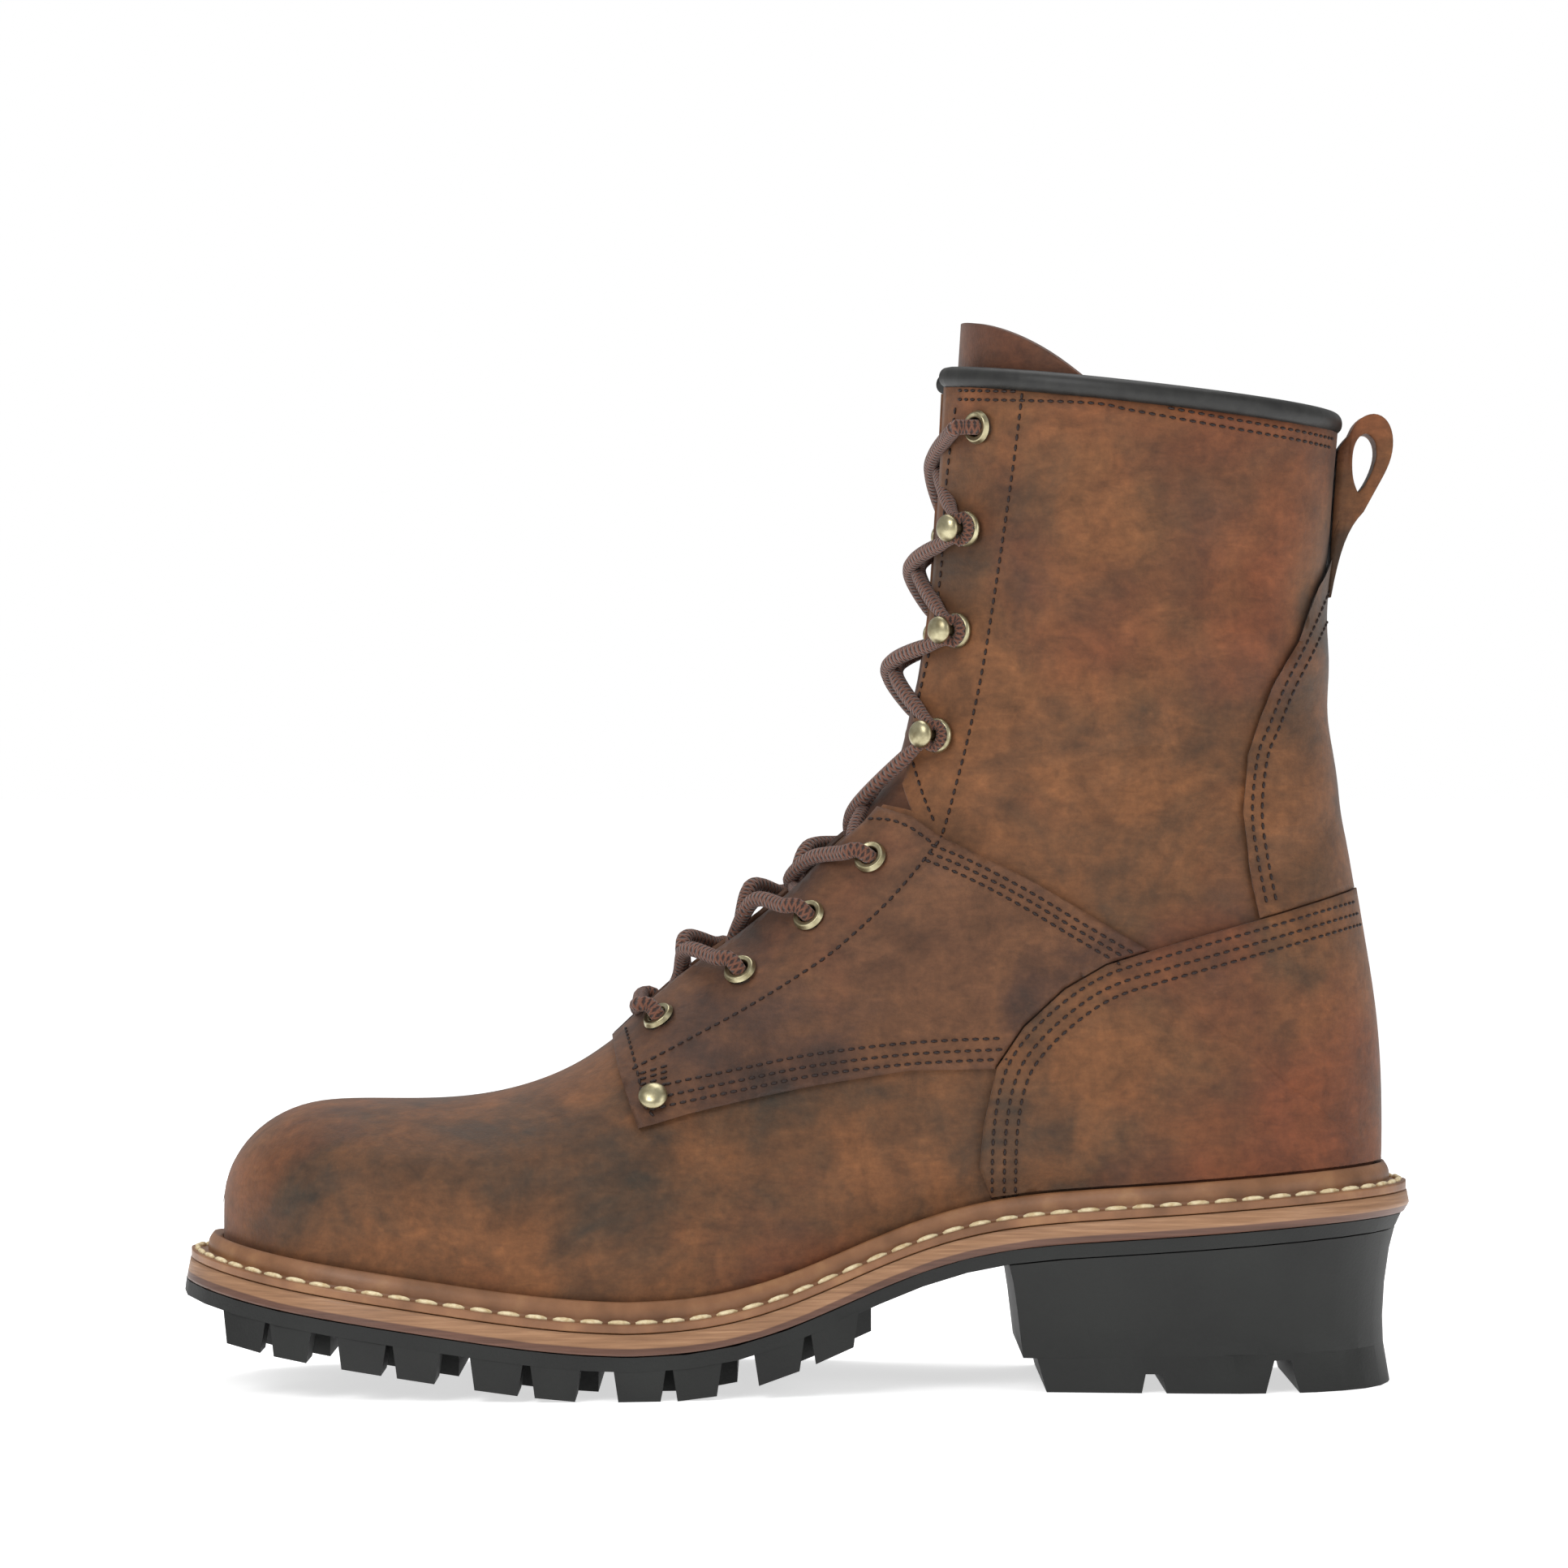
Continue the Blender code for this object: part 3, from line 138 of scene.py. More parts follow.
# The backdrop is seen white, and lights the boot less than it shows
seen = world.node_tree.nodes.new("ShaderNodeLightPath").outputs["Is Camera Ray"]
strength = world.node_tree.nodes.new("ShaderNodeMapRange")
strength.inputs["To Min"].default_value = BACKDROP_LIGHT
strength.inputs["To Max"].default_value = BACKDROP_SEEN
world.node_tree.links.new(seen, strength.inputs["Value"])
world.node_tree.links.new(strength.outputs["Result"], backdrop.inputs["Strength"])
bpy.context.scene.world = world
bpy.context.scene.view_settings.view_transform = "Standard"
for name, (place, side_length, power) in SOFTBOXES.items():
    data = bpy.data.lights.new(name, "AREA")
    data.shape = "SQUARE"
    data.size = side_length
    data.energy = power
    lamp = bpy.data.objects.new(name, data)
    lamp.location = place
    lamp.rotation_euler = (LIGHT_AIM - Vector(place)).to_track_quat("-Z", "Y").to_euler()
    bpy.context.scene.collection.objects.link(lamp)


# Insole
# A tan leather board inside the boot, cut to the last and stuck to the midsole.

# A material toned by one noise and bumped by the same noise, or by a finer one where its scale is given
def toned_material(name, roughness, noise, stops, bump, fine_scale=None):
    made, shader = blank_material(name, roughness)
    space = node(made, "ShaderNodeTexCoord").outputs["Object"]
    scale, detail = noise
    tone = node(made, "ShaderNodeTexNoise", {"Vector": space, "Scale": scale,
                                             "Detail": detail}).outputs["Fac"]
    height = tone
    if fine_scale:
        fine = node(made, "ShaderNodeTexNoise", {"Vector": space, "Scale": fine_scale, "Detail": 3.0})
        height = fine.outputs["Fac"]
    strength, distance = bump
    lift = node(made, "ShaderNodeBump", {"Height": height, "Strength": strength, "Distance": distance})
    colours = [(place, linear(code)) for place, code in stops]
    made.node_tree.links.new(ramp(made, tone, colours), shader.inputs["Base Color"])
    made.node_tree.links.new(lift.outputs["Normal"], shader.inputs["Normal"])
    return made


INSOLE_BOARD = toned_material("insole_board_leather", 0.8, (400.0, 4.0), [(0.3, "8E7050"), (0.7, "B08F68")],
                              (0.3, 0.0005))
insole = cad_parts["insole"]
for place in insole.material_slots:
    place.material = INSOLE_BOARD
if not insole.material_slots:
    insole.data.materials.append(INSOLE_BOARD)

# Upper
# One lasted leather upper in oiled, brushed hide, brown with darker and redder clouds where the oil has
# moved. It is cut, sewn, pulled over the last and tacked under at the welt.
EDGE_ANGLE = math.radians(38)
SHARP_ANGLE = math.radians(50)
UPPER_EDGE = 0.0042


# A merged copy of a CAD node as a bmesh, with its pairs of triangles made quads again
def copy_of(name):
    copied = bmesh.new()
    copied.from_mesh(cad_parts[name].data)
    bmesh.ops.remove_doubles(copied, verts=copied.verts, dist=1e-5)
    return copied


def quads(copied):
    bmesh.ops.join_triangles(copied, faces=copied.faces, angle_face_threshold=0.5,
                             angle_shape_threshold=math.pi)
    return copied


# Two Catmull-Clark levels with every edge sharper than the given angle held
def subdivided(copied, sharp=EDGE_ANGLE):
    crease = copied.edges.layers.float.get("crease_edge") or copied.edges.layers.float.new("crease_edge")
    for edge in copied.edges:
        if len(edge.link_faces) == 2 and edge.calc_face_angle(0) > sharp:
            edge[crease] = 1.0
    mesh = bpy.data.meshes.new("rounded")
    copied.to_mesh(mesh)
    copied.free()
    carrier = bpy.data.objects.new("rounded", mesh)
    bpy.context.scene.collection.objects.link(carrier)
    rounding = carrier.modifiers.new("rounding", "SUBSURF")
    rounding.levels = 2
    rounding.render_levels = 2
    rounded = bpy.data.meshes.new_from_object(carrier.evaluated_get(bpy.context.evaluated_depsgraph_get()))
    bpy.data.objects.remove(carrier, do_unlink=True)
    result = bmesh.new()
    result.from_mesh(rounded)
    return result


# Cuts edges in half, for some rounds, until none is longer than the given length
def refine(copied, longest, rounds):
    for _ in range(rounds):
        long_edges = [edge for edge in copied.edges if edge.calc_length() > longest]
        if not long_edges:
            break
        bmesh.ops.subdivide_edges(copied, edges=long_edges, cuts=1, use_grid_fill=True)
        bmesh.ops.triangulate(copied, faces=[face for face in copied.faces if len(face.verts) > 4])
    return copied


def leather(name, dark, mid, light, red, roughness):
    made, shader = blank_material(name, roughness)
    space = node(made, "ShaderNodeTexCoord").outputs["Object"]
    # Oil clouds 20 to 60 mm across
    cloud = node(made, "ShaderNodeTexNoise", {"Vector": space, "Scale": 24.0, "Detail": 6.0,
                                              "Roughness": 0.62, "Distortion": 0.35}).outputs["Fac"]
    base = ramp(made, cloud, [(0.30, linear(dark)), (0.44, linear(mid)), (0.58, linear(light)),
                              (0.76, linear(mid))])
    warm_inputs = {"Vector": space, "Scale": 15.0, "Detail": 4.0, "Roughness": 0.55, "W": 3.0}
    warm = node(made, "ShaderNodeTexNoise", warm_inputs, noise_dimensions="4D").outputs["Fac"]
    warm_share = ramp(made, warm, [(0.50, 0.0), (0.68, 0.75)])
    mixed = node(made, "ShaderNodeMix", {0: warm_share, 6: base, 7: linear(red)}, data_type="RGBA")
    # Brushed nap and fine scuffs 1 to 3 mm long
    nap = node(made, "ShaderNodeTexNoise", {"Vector": space, "Scale": 420.0, "Detail": 5.0,
                                            "Roughness": 0.7}).outputs["Fac"]
    nap_tone = ramp(made, nap, [(0.25, 0.76), (0.75, 1.20)])
    napped = node(made, "ShaderNodeMix", {0: 1.0, 6: mixed.outputs[2], 7: nap_tone}, data_type="RGBA",
                  blend_type="MULTIPLY")
    # Small oil spots 5 to 12 mm across, and level brush strokes 6 mm long and 2 mm wide
    spots = node(made, "ShaderNodeTexNoise", {"Vector": space, "Scale": 85.0, "Detail": 6.0,
                                              "Roughness": 0.65, "Distortion": 0.6}).outputs["Fac"]
    spot_tone = ramp(made, spots, [(0.34, 0.74), (0.66, 1.22)])
    spotted = node(made, "ShaderNodeMix", {0: 1.0, 6: napped.outputs[2], 7: spot_tone}, data_type="RGBA",
                   blend_type="MULTIPLY")
    pulled = node(made, "ShaderNodeMapping", {"Vector": space, "Scale": (170.0, 170.0, 480.0)})
    stroke_inputs = {"Vector": pulled.outputs["Vector"], "Scale": 1.0, "Detail": 4.0, "Roughness": 0.6,
                     "Distortion": 0.8}
    strokes = node(made, "ShaderNodeTexNoise", stroke_inputs).outputs["Fac"]
    stroke_tone = ramp(made, strokes, [(0.32, 0.86), (0.68, 1.13)])
    toned = node(made, "ShaderNodeMix", {0: 1.0, 6: spotted.outputs[2], 7: stroke_tone}, data_type="RGBA",
                 blend_type="MULTIPLY")
    scuff = node(made, "ShaderNodeTexNoise", {"Vector": space, "Scale": 130.0, "Detail": 8.0,
                                              "Roughness": 0.75, "Distortion": 1.2}).outputs["Fac"]
    scuff_share = ramp(made, scuff, [(0.60, 0.0), (0.72, 0.38)])
    final = node(made, "ShaderNodeMix", {0: scuff_share, 6: toned.outputs[2], 7: linear(light)},
                 data_type="RGBA")
    links = made.node_tree.links
    links.new(final.outputs[2], shader.inputs["Base Color"])
    gloss = ramp(made, cloud, [(0.3, roughness - 0.12), (0.7, roughness + 0.08)])
    links.new(gloss, shader.inputs["Roughness"])
    # Pores 0.7 mm apart under a soft 5 mm unevenness
    pores = node(made, "ShaderNodeTexVoronoi", {"Vector": space, "Scale": 1300.0}).outputs["Distance"]
    grain = node(made, "ShaderNodeBump", {"Height": pores, "Strength": 0.14, "Distance": 0.0002})
    hide = node(made, "ShaderNodeTexNoise", {"Vector": space, "Scale": 190.0, "Detail": 5.0,
                                             "Roughness": 0.6}).outputs["Fac"]
    brushed = node(made, "ShaderNodeBump", {"Height": strokes, "Strength": 0.22, "Distance": 0.0004,
                                            "Normal": grain.outputs["Normal"]})
    swell = node(made, "ShaderNodeBump", {"Height": hide, "Strength": 0.32, "Distance": 0.0007,
                                          "Normal": brushed.outputs["Normal"]})
    links.new(swell.outputs["Normal"], shader.inputs["Normal"])
    shader.inputs["Specular IOR Level"].default_value = 0.32
    shader.inputs["Sheen Weight"].default_value = 0.10
    shader.inputs["Sheen Roughness"].default_value = 0.5
    return made


UPPER_LEATHER = leather("oiled_crazy_horse_leather", "2D2820", "553923", "744A2B", "733B20", 0.66)
QUARTER_LEATHER = leather("oiled_quarter_leather", "2A211C", "4A2F20", "664229", "63321D", 0.60)
# The tongue's leather is a copy of the oiled leather painted darker: painted shade for the inside of the
# throat
SHADED_TONGUE_LEATHER = leather("oiled_tongue_leather_painted_shade", "281C17", "442A1D", "5C3925", "5A2F1C", 0.64)

# Soft creases: middle in the side view, half length and half width, slope and depth
CREASES = (
    (-0.131, 0.080, 0.016, 0.0045, 62, 0.0007),
    (-0.088, 0.100, 0.026, 0.0050, -12, 0.0008),
    (-0.076, 0.111, 0.022, 0.0040, -24, 0.0007),
    (-0.062, 0.094, 0.020, 0.0045, -6, 0.0006),
    (-0.050, 0.140, 0.026, 0.0065, 25, 0.0012),
    (-0.020, 0.152, 0.030, 0.0080, 12, 0.0014),
    (0.008, 0.168, 0.024, 0.0080, -15, 0.0012),
    (-0.034, 0.176, 0.030, 0.0090, 30, 0.0010),
    (-0.005, 0.200, 0.034, 0.0100, -20, 0.0010),
    (0.016, 0.128, 0.018, 0.0050, 40, 0.0008),
)
# Each trough has a softer ridge beside it
RIDGE_SHARE = 0.6
RIDGE_PLACE = 1.7


def crease_depth(place):
    drop = 0.0
    for x, z, half_length, half_width, slope, depth in CREASES:
        turn = math.radians(slope)
        dx = place.x - x
        dz = place.z - z
        run = (dx * math.cos(turn) + dz * math.sin(turn)) / half_length
        off = (dz * math.cos(turn) - dx * math.sin(turn)) / half_width
        if abs(run) < 2.2 and abs(off) < 4:
            profile = math.exp(-off**2) - RIDGE_SHARE * math.exp(-(off - RIDGE_PLACE)**2)
            drop += depth * math.exp(-run**2) * profile
    return drop


upper_work = refine(subdivided(quads(copy_of("upper"))), UPPER_EDGE, 2)
upper_work.normal_update()
creased = {v: v.co - v.normal * crease_depth(v.co) for v in upper_work.verts}
for v, place in creased.items():
    v.co = place
upper_work.normal_update()
upper_tree = BVHTree.FromBMesh(upper_work)
upper = new_object("lasted_upper", upper_work, UPPER_LEATHER)
upper.data.set_sharp_from_angle(angle=SHARP_ANGLE)
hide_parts("upper")
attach(upper, "root")

# Quarters, counter and backstay
# Cut leather panels sewn flat on the upper: a quarter with the lower eyelets on each side, a deep heel
# counter round the back, and a curved backstay up the seam.
PANEL_EDGE = 0.0026
PRESSED_IN = 0.00012
cad_tree = BVHTree.FromBMesh(copy_of("upper"))


# A panel keeps its height over the CAD's upper, now over the creased upper
def lay_on_upper(name, node_name, material):
    panel = refine(copy_of(node_name), PANEL_EDGE, 5)
    panel.normal_update()
    for v in panel.verts:
        nearest, normal, _, height = cad_tree.find_nearest(v.co)
        place = upper_tree.find_nearest(nearest)[0]
        away = (v.co - nearest).normalized() if height > 1e-5 else normal
        v.co = place + away * (height - PRESSED_IN)
    flat = [v for v in panel.verts
            if all(len(e.link_faces) == 2 and e.calc_face_angle(0) < 0.5 for e in v.link_edges)]
    bmesh.ops.smooth_vert(panel, verts=flat, factor=0.5, use_axis_x=True, use_axis_y=True, use_axis_z=True)
    piece = new_object(name, panel, material)
    piece.data.set_sharp_from_angle(angle=SHARP_ANGLE)
    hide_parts(node_name)
    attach(piece, "root")
    return piece


panels = [lay_on_upper("quarter_panel_medial", "quarter_medial", QUARTER_LEATHER),
          lay_on_upper("quarter_panel_lateral", "quarter_lateral", QUARTER_LEATHER),
          lay_on_upper("counter_panel", "counter", UPPER_LEATHER),
          lay_on_upper("backstay_panel", "backstay", UPPER_LEATHER)]

# Tongue
# One soft leather tongue inside the throat, that stands above the collar. Its leather is the oiled leather
# painted darker than the outside, as painted shade for the inside of the throat.
tongue = new_object("soft_tongue", subdivided(quads(copy_of("tongue"))), SHADED_TONGUE_LEATHER)
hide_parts("tongue")
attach(tongue, "root")

# Collar binding
# A thin black leather strip rolled over the rim of the collar and sewn through.
BINDING_RISE = 0.0008
BINDING_DROP = 0.0006
BINDING_LEATHER = toned_material("black_rolled_binding_leather", 0.48, (300.0, 4.0),
                                 [(0.3, "141413"), (0.7, "242422")], (0.25, 0.0004))
binding_work = subdivided(quads(copy_of("collar_binding")), math.radians(60))
binding_work.normal_update()
for v in binding_work.verts:
    v.co.z += BINDING_RISE * max(v.normal.z, 0) - BINDING_DROP * max(-v.normal.z, 0)
binding = new_object("rolled_collar_binding", binding_work, BINDING_LEATHER)
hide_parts("collar_binding")
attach(binding, "root")

# Pull loop
# A strap of the same leather folded into a loop and sewn to the back under the collar. Its inner leg lies
# on the boot, and its lower end is pared thin.
LEG_REACH = 0.0060
LEG_CLEARANCE = 0.0002
FREE_TOP = 0.005
FREE_FADE = 0.004
LEG_TAPER = 0.014
LEG_DROP = 0.007
PARED_END = 0.0006
loop_work = subdivided(copy_of("pull_loop"), math.radians(62))
loop_work.normal_update()
loop_bottom = min(v.co.z for v in loop_work.verts)
loop_top = max(v.co.z for v in loop_work.verts)
for v in loop_work.verts:
    behind = upper_tree.ray_cast(Vector((0.2, v.co.y * 0.3, v.co.z)), Vector((-1, 0, 0)))[0]
    share = min(max((loop_bottom + LEG_TAPER - v.co.z) / LEG_TAPER, 0), 1)
    if behind is not None and v.co.x - behind.x < LEG_REACH:
        below_top = min(max((loop_top - FREE_TOP - v.co.z) / FREE_FADE, 0), 1)
        facing = min(max(-1.6 * v.normal.x, 0), 1)
        v.co.x += (behind.x + LEG_CLEARANCE - v.co.x) * facing * below_top
    if behind is not None and v.normal.x > -0.3:
        v.co.x += (behind.x + PARED_END - v.co.x) * share * 0.9
    v.co.z -= LEG_DROP * share**2
loop = new_object("sewn_pull_loop", loop_work, UPPER_LEATHER)
loop.data.set_sharp_from_angle(angle=SHARP_ANGLE)
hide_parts("pull_loop")
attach(loop, "root")

# Welt
# A leather strip sewn round the feather line, with its inner edge raised as a bead against the upper.
WELT_LEATHER = toned_material("veg_tanned_welt_leather", 0.45, (90.0, 6.0),
                              [(0.30, "6F4A2E"), (0.55, "8B6040"), (0.75, "A37850")], (0.2, 0.0003), 900.0)
welt = new_object("sewn_welt", subdivided(quads(copy_of("welt")), math.radians(60)), WELT_LEATHER)
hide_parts("welt")
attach(welt, "root")

# Midsole
# Stacked sole leather with its cut edge waxed: tan with fine grain lines along it, coloured darker and
# redder towards the bottom of the edge.
SOLE_EDGE, edge_shader = blank_material("waxed_sole_leather_edge", 0.42)
space = node(SOLE_EDGE, "ShaderNodeTexCoord").outputs["Object"]
edge_depth_share = node(SOLE_EDGE, "ShaderNodeAttribute", attribute_name="edge_depth_share", attribute_type="GEOMETRY")
slivers = node(SOLE_EDGE, "ShaderNodeMapping", {"Vector": space, "Scale": (60.0, 60.0, 1400.0)})
line_inputs = {"Vector": slivers.outputs["Vector"], "Scale": 1.0, "Detail": 5.0, "Roughness": 0.6}
lines = node(SOLE_EDGE, "ShaderNodeTexNoise", line_inputs).outputs["Fac"]
tan = ramp(SOLE_EDGE, lines, [(0.30, linear("805C40")), (0.55, linear("9A7252")), (0.75, linear("B08764"))])
red = ramp(SOLE_EDGE, lines, [(0.30, linear("503529")), (0.70, linear("6C4A3B"))])
split = ramp(SOLE_EDGE, edge_depth_share.outputs["Fac"], [(0.62, 0.0), (0.68, 1.0)])
both = node(SOLE_EDGE, "ShaderNodeMix", {0: split, 6: tan, 7: red}, data_type="RGBA")
SOLE_EDGE.node_tree.links.new(both.outputs[2], edge_shader.inputs["Base Color"])
lift = node(SOLE_EDGE, "ShaderNodeBump", {"Height": lines, "Strength": 0.25, "Distance": 0.0003})
SOLE_EDGE.node_tree.links.new(lift.outputs["Normal"], edge_shader.inputs["Normal"])

# Height of the welt's top along the boot, in millimetres: place along it and height
SOLE_TOP = ((-252, 33.9), (-225, 28.3), (-195, 23.9), (-165, 19.7), (-150, 18.4), (-141, 18.1), (-130, 18.5),
            (-120, 19.7), (-110, 22.0), (-100, 25.5), (-90, 29.7), (-80, 33.9), (-70, 37.6), (-60, 40.3),
            (-45, 42.8), (-30, 44.0), (0, 46.2), (20, 47.9), (50, 49.7))
WELT_THICKNESS = 0.0024
MIDSOLE_THICKNESS = 0.0050


def sole_top(x):
    return float(np.interp(x * 1000, [row[0] for row in SOLE_TOP], [row[1] for row in SOLE_TOP])) / 1000


midsole = new_object("stacked_midsole", subdivided(quads(copy_of("midsole"))), SOLE_EDGE)
midsole.data.set_sharp_from_angle(angle=SHARP_ANGLE)
# Each point's share of the way down the edge below the welt, from which the edge turns darker and redder
share = midsole.data.attributes.new("edge_depth_share", "FLOAT", "POINT")
for v in midsole.data.vertices:
    depth = sole_top(v.co.x) - WELT_THICKNESS - v.co.z
    share.data[v.index].value = min(max(depth / MIDSOLE_THICKNESS, 0), 1)
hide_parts("midsole")
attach(midsole, "root")

# Outsole and heel
# Black moulded rubber with deep lugs at the edge and a high heel block, matt with fine mould texture.
RUBBER = toned_material("moulded_lug_rubber", 0.62, (45.0, 6.0), [(0.3, "0D0E0D"), (0.7, "181A18")],
                        (0.25, 0.0003), 1200.0)
EDGE_BREAK = 0.0004


def rubber_piece(name, node_name):
    moulding = copy_of(node_name)
    bmesh.ops.dissolve_limit(moulding, angle_limit=math.radians(1), verts=moulding.verts,
                             edges=moulding.edges)
    piece = new_object(name, moulding, RUBBER)
    rounding = piece.modifiers.new("edges", "BEVEL")
    rounding.width = EDGE_BREAK
    rounding.segments = 2
    rounding.limit_method = "ANGLE"
    rounding.angle_limit = math.radians(35)
    piece.data.set_sharp_from_angle(angle=math.radians(35))
    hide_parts(node_name)
    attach(piece, "root")


rubber_piece("lugged_outsole", "outsole")
rubber_piece("heel_block", "heel")

# Stitches
# Dark waxed thread in rows along the panels' edges, sewn through on both sides of the boot. Each stitch
# is a short thread sunk at both ends.
THREAD, thread_shader = blank_material("waxed_brown_thread", 0.5)
thread_shader.inputs["Base Color"].default_value = linear("200F0A")
thread_shader.inputs["Specular IOR Level"].default_value = 0.4


# One search tree over the outside of several finished pieces
def tree_of(*pieces):
    joined = bmesh.new()
    for piece in pieces:
        joined.from_mesh(piece.data)
    tree = BVHTree.FromBMesh(joined)
    joined.free()
    return tree


surface_tree = tree_of(upper, *panels)
MIDDLE_PX = 966
METRES_PER_PX = 0.0002
HALF_LEG = 0.030
RAY_START = 0.2
STITCH_RISE = 0.25
LONGEST_STEP = 0.012


# A place in the side view, read from the photograph, on the boot's surface at one side
def on_side(px, py, side):
    depth = HALF_LEG
    for _ in range(4):
        scale = METRES_PER_PX * (-CAMERA_PLACE[1] - depth) / -CAMERA_PLACE[1]
        x = CAMERA_PLACE[0] + (px - MIDDLE_PX) * scale
        z = CAMERA_PLACE[2] - (py - MIDDLE_PX) * scale
        near = surface_tree.ray_cast(Vector((x, -RAY_START, z)), Vector((0, 1, 0)))[0]
        if near is None:
            return None, None
        depth = -near.y
    place, normal, _, _ = surface_tree.ray_cast(Vector((x, side * RAY_START, z)), Vector((0, -side, 0)))
    return place, normal


# A Catmull-Rom curve through the points
def smooth_line(points, steps=12):
    ends = [points[0]] + list(points) + [points[-1]]
    line = []
    for k in range(1, len(ends) - 2):
        for step in range(steps):
            t = step / steps
            a, b, c, d = [np.array(p, dtype=float) for p in ends[k - 1:k + 3]]
            line.append(0.5 * (2 * b + (c - a) * t + (2 * a - 5 * b + 4 * c - d) * t * t
                               + (3 * b - a - 3 * c + d) * t**3))
    line.append(np.array(points[-1], dtype=float))
    return line


# The same row moved sideways in the side view
def shifted(points, distance):
    line = np.array(points, dtype=float)
    ahead = np.gradient(line, axis=0)
    ahead /= np.linalg.norm(ahead, axis=1)[:, None]
    return line + np.column_stack([-ahead[:, 1], ahead[:, 0]]) * distance


def add_stitch(work, place, ahead, normal, length, radius):
    across = normal.cross(ahead).normalized()
    up = ahead.cross(across).normalized()
    basis = Matrix((ahead, across, up)).transposed().to_4x4()
    shape = Matrix.Diagonal((length / 2, radius, radius, 1.0))
    spot = Matrix.Translation(place + up * radius * STITCH_RISE)
    bmesh.ops.create_uvsphere(work, u_segments=6, v_segments=5, radius=1.0, matrix=spot @ basis @ shape)


# Stitches along a line of places, starting anew after a jump
def sew_places(work, places, normals, pitch, radius, fill=0.74):
    run = 0.0
    due = pitch / 2
    for k in range(1, len(places)):
        step = (places[k] - places[k - 1]).length
        if step > LONGEST_STEP:
            run = 0.0
            due = pitch / 2
            continue
        while run + step >= due and step > 0:
            t = (due - run) / step
            place = places[k - 1].lerp(places[k], t)
            ahead = (places[k] - places[k - 1]).normalized()
            add_stitch(work, place, ahead, normals[k], pitch * fill, radius)
            due += pitch
        run += step


def sew_row(work, points, side, pitch=0.0025, radius=0.00040):
    places = []
    normals = []
    for px, py in smooth_line(points):
        place, normal = on_side(px, py, side)
        if place is not None:
            if normal.y * side < 0:
                normal = -normal
            places.append(place)
            normals.append(normal)
    sew_places(work, places, normals, pitch, radius)


# Seams and panel edges in the side view, in the photograph's pixels
COUNTER_EDGE = ((1210, 1477), (1213, 1388), (1228, 1316), (1261, 1265), (1312, 1219), (1363, 1189),
                (1430, 1168), (1500, 1148), (1570, 1128), (1664, 1100))
QUARTER_TOP = ((1149, 1031), (1200, 1052), (1266, 1086), (1340, 1130), (1400, 1165))
QUARTER_LOW = ((800, 1378), (853, 1366), (930, 1350), (1006, 1335), (1123, 1321), (1241, 1315))
FRONT_TAB = ((763, 1268), (777, 1320), (786, 1362), (797, 1378))
EYESTAY = ((1260, 482), (1245, 600), (1215, 800), (1195, 900), (1180, 960), (1162, 1025), (1149, 1046),
           (1098, 1107), (1032, 1168), (981, 1204), (914, 1245), (853, 1278), (782, 1316))
COLLAR = ((1180, 470), (1340, 474), (1400, 484), (1500, 502), (1600, 520), (1644, 530))
BACKSTAY = ((1640, 690), (1622, 740), (1600, 790), (1575, 840), (1555, 890), (1540, 930), (1533, 1000),
            (1540, 1060), (1552, 1120))
SHAFT_EDGE = ((1178, 500), (1166, 600), (1160, 700), (1148, 790), (1130, 870), (1122, 920), (1136, 975),
              (1150, 1010))
QUARTER_FRONT = ((1060, 1002), (1095, 1003), (1124, 1013), (1150, 1031))
BAR_TACK_LEVELS = (1318, 1325, 1332, 1340)
BAR_TACK = ((786, 6), (806, 0), (826, -6))
# Rows of stitches: the line each follows and how far beside it, in pixels
ROWS = {
    "counter_stitches": [(COUNTER_EDGE, d) for d in (12, 27, 41)],
    "quarter_stitches": ([(QUARTER_TOP, d) for d in (10, 20, 30)]
                         + [(QUARTER_LOW, d) for d in (-10, -22, -36)]
                         + [(FRONT_TAB, -8), (QUARTER_FRONT, 7)]),
    "eyestay_stitches": [(EYESTAY, 0), (SHAFT_EDGE, 0)],
    "collar_stitches": [(COLLAR, 11), (COLLAR, 22)],
    "backstay_stitches": [(BACKSTAY, -10), (BACKSTAY, -22)],
}
for name, rows in ROWS.items():
    work = bmesh.new()
    for side in (-1, 1):
        for points, distance in rows:
            sew_row(work, [tuple(p) for p in shifted(points, distance)], side)
        if name == "quarter_stitches":
            for level in BAR_TACK_LEVELS:
                sew_row(work, [(px, level + lift) for px, lift in BAR_TACK], side, 0.0026)
    stitches = new_object(name, work, THREAD)
    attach(stitches, "root")

# Welt stitches
# Thick ivory thread lockstitched through welt and midsole all round, each stitch lying in the groove.
IVORY_THREAD = toned_material("ivory_waxed_linen_thread", 0.55, (700.0, 2.0),
                              [(0.3, "CDB384"), (0.6, "F0E0B8")], (0.5, 0.0004))
sole_tree = tree_of(welt, midsole)
welt_tree = tree_of(welt)
STITCH_INSET = 0.0020
WELT_PITCH = 0.0066
WELT_THREAD = 0.00080
TOE_CENTRE = Vector((-0.197, -0.004, 0))
HEEL_CENTRE = Vector((0.006, 0, 0))
HALF_FOOT = 0.048
SPINE_STEPS = 180
ARC_STEPS = 120
OUTSIDE = 0.12
WELT_MIDDLE = 0.0030
LEVEL_TRIES = (0, 0.0015, -0.0015, 0.003, -0.003)


# Rays from the boot's middle line out to the welt: half a turn round each end, and straight between
def arc_rays(centre, first_angle):
    angles = [first_angle + math.pi * k / ARC_STEPS for k in range(ARC_STEPS + 1)]
    return [(centre, Vector((math.cos(angle), math.sin(angle), 0))) for angle in angles]


def straight_rays(steps, side):
    return [(TOE_CENTRE.lerp(HEEL_CENTRE, k / SPINE_STEPS), Vector((0, side, 0))) for k in steps]


